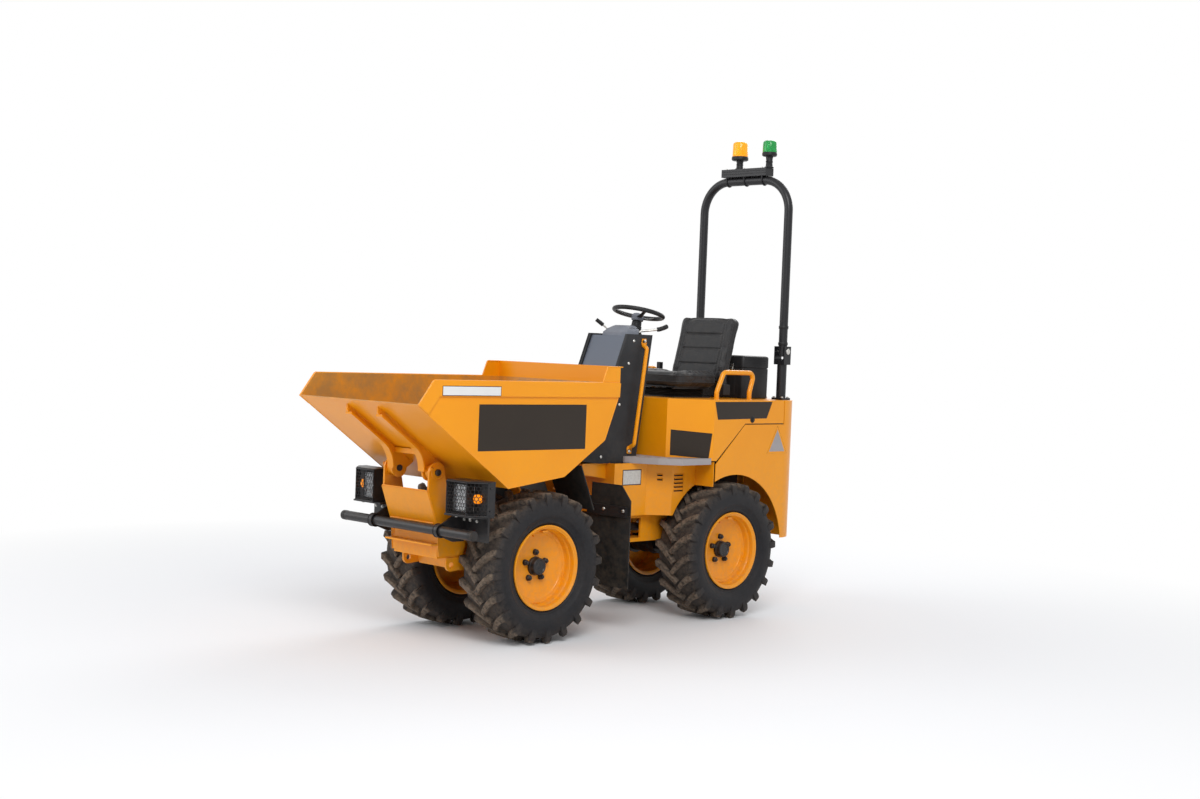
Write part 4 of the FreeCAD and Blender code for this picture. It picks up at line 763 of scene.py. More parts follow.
@dataclass(frozen=True)
class Clear:
    """Clear or tinted moulded lens."""

    kind: Finish
    colour: Colour
    roughness: float = 0.06
    glow: float = 0.0
    transmission: float = 0.9

    def build(self) -> bpy.types.Material:
        """Makes the material.

        Returns:
            The material.
        """
        t = Tree(self.kind)
        haze = t.noise(24.0, 5.0)
        t.set(Base_Color=t.mix(t.ramp(haze, 0.45, 0.8, 0.0, 0.25), self.colour,
                               shade(self.colour, 0.8, 0.06)), Transmission_Weight=self.transmission,
              IOR=1.46, Roughness=t.ramp(haze, 0.3, 0.8, self.roughness, self.roughness + 0.1),
              Emission_Color=(*self.colour, 1.0), Emission_Strength=self.glow)
        t.bump(t.noise(70.0, 2.0), 0.03, 0.0005)
        return t.material


@dataclass(frozen=True)
class Hide:
    """Coated cloth of the seat: fine pebble grain, sheen along folds."""

    kind: Finish
    colour: Colour

    def build(self) -> bpy.types.Material:
        """Makes the material.

        Returns:
            The material.
        """
        t = Tree(self.kind)
        broad = t.noise(6.0, 4.0)
        film = t.times(t.ramp(t.noise(26.0, 6.0, 0.65), 0.45, 0.75),
                       t.ramp(t.upward(), 0.2, 1.0, 0.03, 0.12))
        body = t.mix(t.ramp(broad, 0.35, 0.7), self.colour, shade(self.colour, 1.7, 0.01))
        t.set(Base_Color=t.mix(film, body, DUST), Roughness=t.ramp(broad, 0.3, 0.7, 0.42, 0.6),
              Sheen_Weight=0.08, Sheen_Roughness=0.5, Specular_IOR_Level=0.3)
        t.bump(t.cells(520.0), 0.3, 0.0007)
        return t.material


FINISHES = (
    Paint(Finish.YELLOW, (0.90, 0.335, 0.002), (0.84, 0.295, 0.002), roughness=0.30, coat=0.15, dust=0.30,
          scuffs=0.08),
    Paint(Finish.SKIP, (0.90, 0.335, 0.002), (0.84, 0.295, 0.002), roughness=0.32, coat=0.12, dust=0.30,
          scuffs=0.10, load_side=True),
    Paint(Finish.BLACK, (0.010, 0.010, 0.012), (0.014, 0.014, 0.016), roughness=0.34, coat=0.1, dust=0.10,
          scuffs=0.04),
    Paint(Finish.BLUE_GREY, (0.125, 0.145, 0.185), (0.105, 0.125, 0.16), roughness=0.45, coat=0.05,
          dust=0.2, scuffs=0.05),
    Paint(Finish.GREY, (0.40, 0.37, 0.37), (0.33, 0.31, 0.31), roughness=0.5, coat=0.0, dust_top=1.2,
          scuffs=0.3),
    Paint(Finish.WHITE, (0.78, 0.78, 0.77), (0.74, 0.74, 0.73), roughness=0.4, coat=0.1, dust=0.15,
          scuffs=0.05),
    Paint(Finish.DECAL, (0.018, 0.011, 0.006), (0.022, 0.014, 0.008), roughness=0.4, coat=0.0, dust=0.1,
          scuffs=0.02),
    Moulded(Finish.CHARCOAL, (0.016, 0.017, 0.019), roughness=0.55),
    Moulded(Finish.RUBBER, (0.008, 0.008, 0.008), roughness=0.6, grain=160.0, dust=0.18),
    Moulded(Finish.BLACK_PLASTIC, (0.010, 0.010, 0.011), roughness=0.45, grain=620.0, grain_depth=0.12,
            dust=0.15),
    Moulded(Finish.GREY_PLASTIC, (0.14, 0.15, 0.175), roughness=0.5, grain=620.0, grain_depth=0.15,
            dust=0.2),
    # painted shade: near-black, the colour of the shade behind the louvre slots and the grille
    Moulded(Finish.VOID, (0.004, 0.004, 0.004), roughness=0.8, dust=0.1),
    Tread(Finish.TYRE),
    Metal(Finish.ZINC, (0.62, 0.61, 0.58), 0.38),
    Metal(Finish.CHROME, (0.80, 0.81, 0.83), 0.10, 0.05),
    Metal(Finish.DARK_METAL, (0.10, 0.10, 0.10), 0.45),
    Clear(Finish.LENS, (0.95, 0.97, 1.0), 0.03),
    Clear(Finish.AMBER, (1.0, 0.40, 0.0), 0.12, 0.3, 0.35),
    Clear(Finish.GREEN, (0.005, 0.33, 0.06), 0.12, 0.12, 0.45),
    # painted highlight: the glow stands in for the bright reflection of the unlit lamp's cups
    Clear(Finish.LED, (1.0, 1.0, 1.0), 0.2, 0.8, 0.0),
    Hide(Finish.SEAT, (0.009, 0.009, 0.010)),
)

SIDES = ("front_left", "front_right", "rear_left", "rear_right")

NODE_FINISH = {
    Finish.YELLOW: (*(f"rim_{side}" for side in SIDES), "front_frame", "skip_tower", "skip_rests",
                    "skip_rim", "skip_ribs", "rear_frame", "lower_housing", "hood", "tail_panels",
                    "grab_handles", "deck_rails"),
    Finish.SKIP: ("skip_shell",),
    Finish.BLACK: (*(f"hub_{side}" for side in SIDES), "front_axle", "rear_axle", "bumper",
                   "headlamp_boxes", "lamp_guards", "tip_ram_barrel", "steer_ram_barrel", "rops_posts",
                   "rops_hoop", "beacon_plate", "beacon_bases", "seat_base", "console_controls"),
    Finish.ZINC: ("frame_pins",),
    Finish.DARK_METAL: ("chassis_pins",),
    Finish.CHROME: ("tip_ram_rod", "steer_ram_rod"),
    Finish.RUBBER: ("mudflaps",),
    Finish.TYRE: tuple(f"tyre_{side}" for side in SIDES),
    Finish.CHARCOAL: ("console_cheeks", "steering_wheel", "engine_block"),
    Finish.BLACK_PLASTIC: ("toolbox",),
    Finish.BLUE_GREY: ("console_shroud",),
    Finish.GREY: ("platform",),
    Finish.SEAT: ("seat_cushion", "seat_back"),
    Finish.LENS: ("headlamp_lenses",),
    Finish.AMBER: ("indicator_lenses", "amber_lens"),
    Finish.GREEN: ("green_lens",),
}
"""The finish of each CAD node."""

FOLDED = ("skip_rim", "skip_ribs", "front_frame", "skip_tower", "skip_rests", "rear_frame",
          "lower_housing", "hood", "tail_panels", "platform", "console_cheeks", "console_shroud",
          "headlamp_boxes", "rops_posts", "beacon_plate")
"""CAD nodes whose plate edges are eased."""


def ease(target: bpy.types.Object, width: float) -> None:
    """Adds a small bevel that catches the light.

    Args:
        target: The object.
        width: Width of the bevel, in metres.
    """
    bevel = target.modifiers.new("edges", "BEVEL")
    bevel.width, bevel.segments = width, 2
    bevel.limit_method, bevel.angle_limit = "ANGLE", math.radians(40)
    bevel.harden_normals = True


@dataclass
class Assembly:
    """A sub-assembly: the finished materials, and the body that most of its pieces ride on.

    Its sizes are in millimetres.
    """

    materials: dict[Finish, bpy.types.Material]
    ride: Ride = Ride.REAR

    def piece(self, name: str, form: Form, finish: Finish, edge: float = 0.0, angle: float = 35.0,
              over: Sequence[str] = (), ride: Ride | None = None) -> bpy.types.Object:
        """Makes a finished piece of the scene.

        Args:
            name: Name of the piece.
            form: Its shape; it is used up.
            finish: Its finish.
            edge: Width of the eased edges, in metres.
            angle: Edges sharper than this, in degrees, stay sharp.
            over: CAD nodes that it stands for.
            ride: The CAD body that it rides on, if not the sub-assembly's own.

        Returns:
            The new object.
        """
        ride = ride or self.ride
        bmesh.ops.recalc_face_normals(form.mesh, faces=form.mesh.faces[:])
        data = bpy.data.meshes.new(name)
        form.mesh.to_mesh(data)
        form.mesh.free()
        data.shade_smooth()
        data.set_sharp_from_angle(angle=math.radians(angle))
        data.materials.append(self.materials[finish])
        made = bpy.data.objects.new(name, data)
        bpy.context.scene.collection.objects.link(made)
        if edge:
            ease(made, edge)
        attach(made, ride.value)
        if over:
            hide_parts(*over)
        LOG.info("piece %s: %d faces on %s, %s", name, len(data.polygons), ride.value, finish.label)
        return made


# Wheels

@dataclass(frozen=True)
class Wheel:
    """One wheel's place; side is 1 on the machine's left."""

    name: str
    side: int
    along: float
    ride: Ride
    across: float = 310.0
    height: float = 380.0

    @property
    def axis(self) -> Vector:
        """Direction out of the wheel's outer face."""
        return RIGHT * self.side

    def spot(self, out: float, radius: float = 0.0, angle: float = 0.0) -> Vector:
        """A place on the wheel: millimetres outward and from the axle, angle from the top forward."""
        return at(self.side * (self.across + out), self.along - radius * math.sin(angle),
                  self.height + radius * math.cos(angle))


WHEELS = (Wheel("front_left", 1, -741, Ride.FRONT_LEFT), Wheel("front_right", -1, -741, Ride.FRONT_RIGHT),
          Wheel("rear_left", 1, 669, Ride.REAR_LEFT), Wheel("rear_right", -1, 669, Ride.REAR_RIGHT))


@dataclass
class Wheels(Assembly):
    """Tyres with field tread, pressed rims and hubs."""

    lug_count: int = 20
    lug_reach: float = 131.0
    lug_lag: float = 0.27
    tyre_radius: float = 380.0
    nut_count: int = 5
    nut_circle: float = 70.0
    # places as (across, radius)
    sidewall: tuple = ((98, 200), (101, 214), (107, 222), (110, 224), (113, 229), (112, 233), (117, 242),
                       (123, 256), (125.5, 258), (127, 264), (130, 278), (131.2, 294), (130, 312),
                       (126.5, 328), (119, 341), (108, 349), (84, 353.5), (42, 356), (0, 357))
    rim_outline: tuple = ((-113, 207), (-113, 213), (-110, 214.5), (-102, 213), (-98.6, 208), (-98.3, 200),
                          (-60, 199), (-52, 192), (-10, 191), (30, 191), (60, 192), (72, 199), (98.3, 200),
                          (98.6, 208), (102, 213), (108, 214.5), (112.5, 213), (113, 208), (110, 204),
                          (106, 200), (104, 195.5), (99, 193.5), (80, 193), (73, 188), (64, 186.5),
                          (50, 186), (45, 184), (42.5, 179), (41, 170), (36, 166), (33, 158), (27, 122),
                          (22.5, 98), (21, 90), (21, 47), (12, 47), (12, 91), (17, 106), (36, 180),
                          (38, 186), (-52, 187), (-62, 193), (-104, 194), (-109, 200))
    hub_outline: tuple = (
        (-2.3, 24.1), (33, 24.1), (33, 0), (60.5, 0), (60.5, 12), (59, 14), (59, 30), (62.5, 33), (63, 38),
        (60, 42), (52, 43.5), (38, 44), (36, 46.6), (11.7, 46.7), (11.7, 92), (-2.3, 92))
    stud_outline: tuple = ((-10, 0), (-10, 8.8), (0, 8.8), (0.2, 15.5), (3, 15.5), (3.2, 13.4), (16, 13.4),
                           (19.5, 10.5), (19.5, 7.5), (24, 7.5), (25.5, 6.2), (25.5, 0))

    @staticmethod
    def earth(across: float, radius: float) -> float:
        """Spreads dry earth over a tyre.

        Args:
            across: Distance from its middle, in millimetres.
            radius: Distance from the axle.

        Returns:
            Share of earth there.
        """
        if radius > 374:
            return 1.0
        if abs(across) < 110 and radius > 340:
            return 0.35
        return 0.22 * max(0.0, min(1.0, (radius - 300) / 60))

    def section(self, wheel: Wheel, angle: float, slope: float, half: float, top: tuple[float, float],
                foot: tuple[float, float]) -> list[Vector]:
        """A lug's cross-section: foot, chamfered top, foot.

        Args:
            wheel: The wheel.
            angle: Its place round the tyre.
            slope: How far the lug runs back for each step outward.
            half: Half the lug's width.
            top: Place of its top as (across, radius).
            foot: Place of its foot.

        Returns:
            The section's corners.
        """
        chamfer, length = 2.2, math.hypot(1.0, slope)
        made = []
        for offset, (across, radius) in ((half + 5.5, foot), (half, (top[0], top[1] - chamfer)),
                                         (half - chamfer, top), (chamfer - half, top),
                                         (-half, (top[0], top[1] - chamfer)), (-half - 5.5, foot)):
            place = max(-40.0, min(131.9, across + slope / length * offset))
            made.append(wheel.spot(place, radius, angle + offset / length / radius))
        return made

    def lug(self, wheel: Wheel) -> bmesh.types.BMesh:
        """One lug at the top, from the middle of the tread back to the shoulder and down the side.

        Args:
            wheel: The wheel.

        Returns:
            The lug.
        """
        rows = []
        for step in range(8):
            share = step / 7
            slope = self.lug_lag * 1.45 * (1 - share) ** 0.45 * 368 / self.lug_reach
            rows.append(self.section(wheel, -self.lug_lag * (1 - (1 - share) ** 1.45), slope,
                                     11.5 + 5 * share, (self.lug_reach * share - 9,
                                                        self.tyre_radius - 5 * share ** 2),
                                     (self.lug_reach * share - 9, 350 - 6 * share)))
        for top, foot, half in (((129.0, 364.0), (110.0, 338.0), 17.5),
                                ((131.6, 346.0), (114.0, 330.0), 18.0),
                                ((131.9, 322.0), (118.0, 318.0), 16.0),
                                ((129.5, 303.0), (122.0, 303.0), 12.0)):
            rows.append(self.section(wheel, -self.lug_lag, 0.0, half, top, foot))
        part = bmesh.new()
        face = part.faces.new([part.verts.new(place) for place in rows[0]])
        for number, row in enumerate(rows[1:]):
            face = Form.push(part, face, number > 0)
            for vert, place in zip(face.verts, row):
                vert.co = place
        return part

    def tyre(self, wheel: Wheel) -> None:
        """Carcass with its moulded rings and two rows of staggered lugs.

        Args:
            wheel: The wheel.
        """
        middle = wheel.spot(0)
        half = [(across, radius) for across, radius in self.sidewall]
        outline = half + [(-across, radius) for across, radius in reversed(half[:-1])] + [(-94, 200),
                                                                                          (94, 200)]
        form = Form().lathe(outline, middle, wheel.axis, 120)
        pitch = math.tau / self.lug_count
        row = self.lug(wheel)
        whole = row.verts[:] + row.edges[:] + row.faces[:]
        made = bmesh.ops.duplicate(row, geom=whole)["geom"]
        other = [item for item in made if isinstance(item, bmesh.types.BMVert)]
        flip = Matrix.Translation(middle) @ Matrix.Diagonal((-1, 1, 1, 1)) @ Matrix.Translation(-middle)
        bmesh.ops.transform(row, matrix=flip, verts=other)
        bmesh.ops.rotate(row, cent=middle, matrix=Matrix.Rotation(pitch / 2, 3, "X"), verts=other)
        bmesh.ops.spin(row, geom=row.verts[:] + row.edges[:] + row.faces[:], cent=middle, axis=RIGHT,
                       dvec=(0, 0, 0), angle=pitch * (self.lug_count - 1), steps=self.lug_count - 1,
                       use_duplicate=True)
        form.join(row)
        worn = form.mesh.verts.layers.float.new("worn")
        for vert in form.mesh.verts:
            reach = vert.co - middle
            vert[worn] = self.earth(reach.x * 1000, math.hypot(reach.y, reach.z) * 1000)
        self.piece(f"tyre_{wheel.name}_dress", form, Finish.TYRE, angle=38.0,
                       over=(f"tyre_{wheel.name}",), ride=wheel.ride)

    def rim(self, wheel: Wheel) -> None:
        """Rolled flanges, drop centre, dished disc, valve and its guard.

        Args:
            wheel: The wheel.
        """
        form = Form().lathe(self.rim_outline, wheel.spot(0), wheel.axis, 96)
        form.pipe([wheel.spot(30, 176, 0.35), wheel.spot(58, 172, 0.35), wheel.spot(74, 166, 0.35)], 0.0045,
                  10)
        for turn in range(self.nut_count):
            angle = math.tau * (turn + 0.5) / self.nut_count
            form.rod(wheel.spot(47, 183.5, angle - 0.12), wheel.spot(47, 183.5, angle + 0.12), 0.0035, 8)
        self.piece(f"rim_{wheel.name}_dress", form, Finish.YELLOW, angle=32.0,
                       over=(f"rim_{wheel.name}",), ride=wheel.ride)
        corners = [wheel.spot(62, radius, angle) for radius,
                   angle in ((186.5, -0.10), (186.5, 0.10), (176, 0.10), (176, -0.10))]
        self.piece(f"valve_guard_{wheel.name}", Form().prism(corners, wheel.axis * 0.03),
                       Finish.YELLOW, edge=0.002, ride=wheel.ride)

    def hub(self, wheel: Wheel) -> None:
        """Cap with its ring, flange behind the disc and the nuts on their studs.

        Args:
            wheel: The wheel.
        """
        form = Form().lathe(self.hub_outline, wheel.spot(0), wheel.axis, 64)
        nuts = Form()
        for turn in range(self.nut_count):
            seat = wheel.spot(21, self.nut_circle, -math.tau * turn / self.nut_count)
            form.lathe(self.stud_outline, seat, wheel.axis, 24)
            nuts.lathe([(3, 0), (3, 14.6), (15, 14.6), (17.5, 12.6), (17.5, 0)], seat, wheel.axis, 6)
        self.piece(f"hub_{wheel.name}_dress", form, Finish.BLACK, angle=32.0,
                       over=(f"hub_{wheel.name}",), ride=wheel.ride)
        self.piece(f"nuts_{wheel.name}", nuts, Finish.BLACK, angle=20.0, ride=wheel.ride)

    def build(self) -> None:
        """Dresses the four wheels."""
        for wheel in WHEELS:
            self.tyre(wheel)
            self.rim(wheel)
            self.hub(wheel)


# Skip and front chassis

@dataclass
class Skip(Assembly):
    """Blank plates, beads and folded edges of the skip."""

    ride: Ride = Ride.SKIP
    band_side: float = 474.05
    panel_side: float = 464.55
    corner_side: float = 463.2
    plate_border: float = 3.0
    # corners of the blank plates as (along, height)
    band_plate: tuple = ((-1491, 1234.5), (-1131, 1281))
    panel_plate: tuple = ((-1257, 973), (-549, 1195))
    rib_faces: tuple = (113.6, 126.4)
    lug_faces: tuple = (35.3, 39.7)
    corners: tuple = ((-1622, 1188), (-1055, 790.5), (-686, 837.5), (-410.5, 1015), (-323, 1231))
    rolls: tuple = (((469, -1536, 1304), (469, -326, 1304)), ((469, -1622, 1190), (469, -1539, 1303)))
    guard_line: tuple = (at(465, -440, 1306), at(465, -408, 1386.5), at(465, -321, 1386.5))

    def plates(self) -> None:
        """Blank plates on both sides: white with a dark border on the band, black on the side."""
        side, rim, (front, low), (end, high) = self.band_side, self.plate_border, *self.band_plate
        border = Form().box(at(side, front, low), at(side + 0.7, end, high))
        field = Form().box(at(side + 0.7, front + rim, low + rim), at(side + 1.05, end - rim, high - rim))
        (front, low), (end, high) = self.panel_plate
        panel = Form().box(at(self.panel_side, front, low), at(self.panel_side + 0.75, end, high))
        self.piece("band_plate_border", border.mirror(), Finish.BLACK_PLASTIC)
        self.piece("band_plate", field.mirror(), Finish.WHITE)
        self.piece("side_panel", panel.mirror(), Finish.DECAL)

    def beads(self) -> None:
        """Weld beads along the skip's outer corners and round the ribs."""
        form = Form()
        line = [at(self.corner_side, y, z) for y, z in self.corners]
        for first, second in zip(line, line[1:]):
            form.bead(first, second, 0.0026)
        for across in self.rib_faces:
            form.bead(at(across, -1560, 1143), at(across, -1350, 996), 0.0028)
        for across in self.lug_faces:
            form.bead(at(across, -905, 808), at(across, -795, 822), 0.0026)
        self.piece("skip_beads", form.mirror(), Finish.YELLOW, angle=60.0)

    def edges(self) -> None:
        """Wear strip along the lip and the rolled top of the bands and guard."""
        direction, normal = Vector((0, 571, -400)).normalized(), Vector((0, 400, 571)).normalized()
        corner = at(-463, -1625, 1190.5)
        lip = Form().prism([corner, corner + direction * 0.052,
                            corner + direction * 0.052 + normal * 0.0045,
                            corner + direction * 0.004 + normal * 0.0065], Vector((0.926, 0, 0)))
        self.piece("lip_strip", lip, Finish.SKIP, edge=0.0012)
        roll = Form()
        for start, end in self.rolls:
            roll.rod(at(*start), at(*end), 0.0052, 12)
        self.piece("band_roll", roll.mirror(), Finish.YELLOW, angle=50.0)
        crown = Form().pipe(rounded(self.guard_line, 0.012), 0.0042, 10)
        self.piece("guard_roll", crown.mirror(), Finish.YELLOW, angle=50.0)

    def build(self) -> None:
        """Dresses the skip."""
        self.plates()
        self.beads()
        self.edges()


@dataclass
class Front(Assembly):
    """Lamps, bumper, tower and mudflaps of the front chassis."""

    ride: Ride = Ride.FRONT
    lamp_inner: float = 285.0
    lamp_bend: float = 435.0
    lamp_outer: float = 508.3
    lamp_face: float = -1290.3
    lamp_corner: float = -1222.0
    lamp_low: float = 667.0
    lamp_high: float = 821.0
    mesh_cell: float = 10.8
    mesh_wire: float = 3.4
    tip_pin: tuple = (-1265, 850)
    motor_bolts: int = 10
    cup_rows: int = 4
    cup_columns: int = 3
    cup_outline: tuple = ((0, 3), (2, 6), (10, 12.5), (20, 15.2), (21, 15.6), (19, 16), (8, 14), (0, 8))
    chip_outline: tuple = ((1, 0), (1, 4), (5, 4.5), (8, 2.5), (9, 0))
    bezel_bars: tuple = (((303, -1264, 676), (405, -1217, 681)), ((303, -1264, 807), (405, -1217, 812)),
                         ((303, -1264, 681), (307, -1217, 807)), ((401, -1264, 681), (405, -1217, 807)))
    lid_plan: tuple = ((283.5, -1170.5), (283.5, -1289), (436, -1289), (507, -1223), (507, -1170.5))
    clamp_outline: tuple = ((-3, 24), (-3, 33.2), (-1.5, 34.5), (1.5, 34.5), (3, 33.2), (3, 24))
    boss_outline: tuple = ((-2.2, 34.8), (0, 38.6), (2.2, 36.4), (2.2, 34.8))
    cheek_beads: tuple = ((440, 596, -1239, -1253), (596, 756, -1254, -1314))
    cap_outline: tuple = ((0.2, 0), (0.2, 15.8), (2, 16.2), (5, 16.2), (6.5, 14.5), (6.5, 11.5),
                          (1.5, 10.5), (1.5, 0))
    flap_ribs: tuple = (((145, 250), (155, 600)), ((411, 250), (421, 600)), ((108, 240), (458, 249)))
    motor_rings: tuple = ((150, 81, 16), (230, 80, 7))

    def lamps(self) -> None:
        """Rows of reflector cups behind a clear cover, chips that glow as painted highlight for the bright
        reflectors of the unlit lamp, and ribbed indicators.
        """
        cups, chips, bezel, forward = Form(), Form(), Form(), -BACK
        for row in range(self.cup_rows):
            for column in range(self.cup_columns):
                centre = at(320 + column * 33, -1222, 696 + row * 32)
                cups.lathe(self.cup_outline, centre, forward, 24)
                chips.lathe(self.chip_outline, centre, forward, 12)
        for low, high in self.bezel_bars:
            bezel.box(at(*low), at(*high))
        back = Form().box(at(303, -1219, 676), at(405, -1216.3, 812))
        self.piece("lamp_backs", back.mirror(), Finish.WHITE)
        cover = Form().box(at(306, -1262.5, 680), at(402, -1259.5, 808))
        self.piece("lamp_cups", cups.mirror(), Finish.WHITE, angle=40.0)
        # the chips' glow is painted highlight for the cups' bright reflection; the lamp is not lit
        self.piece("lamp_chips", chips.mirror(), Finish.LED)
        self.piece("lamp_bezels", bezel.mirror(), Finish.BLACK_PLASTIC, edge=0.001)
        self.piece("lamp_covers", cover.mirror(), Finish.LENS, edge=0.001, over=("headlamp_lenses",))
        ribs = [(0.3, 0), (0.3, 22)]
        for number in range(4):
            ribs += [(4 + number * 4.5, 22), (6 + number * 4.5, 20.8), (8.2 + number * 4.5, 21.6)]
        amber = Form().lathe(ribs + [(22.5, 17), (23.7, 9), (23.7, 0)], at(443, -1216, 744), forward, 40)
        self.piece("indicators", amber.mirror(), Finish.AMBER, over=("indicator_lenses",))

    def mesh(self) -> None:
        """Pressed mesh with six-sided holes, folded round each lamp box."""
        face = self.lamp_bend - self.lamp_inner
        slant = math.hypot(self.lamp_outer - self.lamp_bend, self.lamp_face - self.lamp_corner)
        cell, rise = self.mesh_cell, self.mesh_cell * math.sqrt(3)
        part = bmesh.new()
        for row in range(int((self.lamp_high - self.lamp_low) / cell / 1.5) + 2):
            for column in range(int((face + slant) / rise) + 2):
                spot = Vector((self.lamp_inner + (column + row % 2 / 2) * rise,
                               self.lamp_low + row * cell * 1.5, 0))
                bmesh.ops.create_circle(part, cap_ends=True, cap_tris=False, segments=6, radius=cell,
                                        matrix=Matrix.Translation(spot))
        bmesh.ops.remove_doubles(part, verts=part.verts[:], dist=0.05)
        for spot, normal in (((self.lamp_inner + 2, 0, 0), (-1, 0, 0)), ((0, self.lamp_low, 0), (0, -1, 0)),
                             ((self.lamp_inner + face + slant - 2, 0, 0), (1, 0, 0)),
                             ((0, self.lamp_high, 0), (0, 1, 0))):
            bmesh.ops.bisect_plane(part, geom=part.verts[:] + part.edges[:] + part.faces[:], dist=1e-4,
                                   plane_co=spot, plane_no=normal, clear_outer=True)
        bmesh.ops.wireframe(part, faces=part.faces[:], thickness=self.mesh_wire, use_replace=True,
                            use_boundary=True, use_even_offset=True)
        upright = Matrix(((1, 0, 0, 0), (0, 0, -1, self.lamp_face), (0, 1, 0, 0), (0, 0, 0, 1)))
        bmesh.ops.transform(part, matrix=upright, verts=part.verts[:])
        fold = math.atan2(self.lamp_corner - self.lamp_face, self.lamp_outer - self.lamp_bend)
        bmesh.ops.rotate(part, cent=(self.lamp_bend, self.lamp_face, 0),
                         matrix=Matrix.Rotation(fold, 3, "Z"),
                         verts=[vert for vert in part.verts if vert.co.x > self.lamp_bend])
        bmesh.ops.transform(part, matrix=Matrix.Translation((0, PIVOT_Y, 0)) @ Matrix.Scale(0.001, 4),
                            verts=part.verts[:])
        self.piece("guard_mesh", Form().join(part).mirror(), Finish.BLACK, angle=20.0)

    def guards(self) -> None:
        """Wire border of the mesh with its straps and screws."""
        frame = Form()
        bend, outer, front, corner = self.lamp_bend, self.lamp_outer, self.lamp_face, self.lamp_corner
        for height in (665.5, 822.5):
            frame.pipe(rounded([at(288, front, height), at(bend, front, height), at(outer, corner, height),
                                at(outer, -1196, height)], 0.008), 0.003, 10)
        for x, y in ((288, front), (bend - 2, front + 1), (outer - 1, corner + 2)):
            frame.rod(at(x, y, 665.5), at(x, y, 822.5), 0.003, 10)
        for height in (690, 798):
            frame.rod(at(508, -1205, height), at(503, -1190, height), 0.0028, 10)
            frame.bolt(at(505.2, -1196, height), RIGHT, 4, washer=False)
        self.piece("guard_frames", frame.mirror(), Finish.BLACK, angle=40.0, over=("lamp_guards",))

    def boxes(self) -> None:
        """Lids with a rolled edge on the lamp boxes, the bolts under them and the bumper's clamps."""
        lid = Form().prism([at(x, y, 826.2) for x, y in self.lid_plan], UP * 0.0035)
        self.piece("lamp_lids", lid.mirror(), Finish.BLACK, edge=0.0016)
        bolts, clamps = Form(), Form()
        for x in (300, 345, 395):
            bolts.bolt(at(x, -1184, 632), -BACK, 7)
        for x in (318, 420):
            bolts.bolt(at(x, -1250, 653.6), -UP, 7)
        self.piece("lamp_bolts", bolts.mirror(), Finish.ZINC)
        for x in (243, 269):
            clamps.lathe(self.clamp_outline, at(x, -1300, 578), RIGHT, 40)
        clamps.lathe([(-0.1, 0), (-0.1, 20), (0, 24.1), (26, 24.9), (26.5, 24.1), (26.5, 0)],
                     at(510, -1300, 578), -RIGHT, 40)
        self.piece("bumper_trim", clamps.mirror(), Finish.BLACK_PLASTIC, angle=40.0)

    def tower(self) -> None:
        """Beads, pin caps, retainers and blank plate on the tower."""
        along, height = self.tip_pin
        form = Form().lathe(self.boss_outline, at(183, along, height), RIGHT, 60)
        for low, high, start, end in self.cheek_beads:
            form.bead(at(180.6, start, low), at(180.6, end, high), 0.0028)
        form.bead(at(-167, -1268, 601.5), at(167, -1268, 601.5), 0.003)
        self.piece("tower_beads", form.mirror(), Finish.YELLOW, angle=60.0)
        caps = Form().lathe(self.cap_outline, at(188, along, height), RIGHT, 40)
        caps.rod(at(183.2, along - 35, height + 18), at(189, along - 35, height + 18), 0.007, 20,
                 chamfer=0.001)
        self.piece("tower_pin_caps", caps.mirror(), Finish.DARK_METAL, angle=40.0)
        keeper = Form().box(at(183.3, along - 47, height + 8), at(187, along - 16, height + 26))
        keeper.bolt(at(187, along - 38, height + 17), RIGHT, 8, washer=False)
        self.piece("pin_retainers", keeper.mirror(), Finish.YELLOW, edge=0.001)
        trim = Form().prism([at(-178, -1316, 756), at(178, -1316, 756), at(178, -1321, 760),
                             at(-178, -1321, 760)], Vector((0, 0.0007, 0.006)))
        self.piece("tower_edge", trim, Finish.YELLOW, edge=0.0015)
        nose = Form().box(at(-171.5, -1242, 502.2), at(171.5, -1236.3, 593.8))
        nose.box(at(-171.5, -1242, 440.2), at(171.5, -1236.3, 493.8))
        self.piece("tower_nose", nose, Finish.YELLOW, edge=0.001)

    def flaps(self) -> None:
        """Clamp strips and bolts of the mudflaps, and the flaps' stiffening ribs."""
        strip, bolts, ribs = Form(), Form(), Form()
        strip.box(at(154.5, -213.2, 606), at(443, -200.05, 661))
        for x in (140, 282, 424):
            bolts.bolt(at(x, -193.9, 634), BACK, 9)
            bolts.bolt(at(x, -213.1, 640), -BACK, 9)
        for x in (190, 240):
            bolts.bolt(at(x, -193.9, 742), BACK, 7)
        for low, high in self.flap_ribs:
            ribs.box(at(low[0], -193.9, low[1]), at(high[0], -191.4, high[1]))
        self.piece("flap_strips", strip.mirror(), Finish.BLACK, edge=0.001)
        self.piece("flap_bolts", bolts.mirror(), Finish.ZINC)
        self.piece("flap_ribs", ribs.mirror(), Finish.RUBBER, edge=0.001)

    def motors(self) -> None:
        """Bolted covers of the wheel motors, front and rear."""
        for name, ride, along in (("front", Ride.FRONT, -741), ("rear", Ride.REAR, 669)):
            form, bolts = Form(), Form()
            for across, wide, deep in self.motor_rings:
                form.lathe([(0, 60), (0, wide - 1.5), (1.5, wide), (deep - 1.5, wide), (deep, wide - 1.5),
                            (deep, 60)], at(across, along, 380), RIGHT, 64)
            for number in range(self.motor_bolts):
                turn = math.tau * (number + 0.5) / self.motor_bolts
                bolts.bolt(at(150, along + 70 * math.cos(turn), 380 + 70 * math.sin(turn)), -RIGHT, 8,
                           washer=False)
            self.piece(f"{name}_motor_covers", form.mirror(), Finish.BLACK, angle=40.0, ride=ride)
            self.piece(f"{name}_motor_bolts", bolts.mirror(), Finish.ZINC, ride=ride)

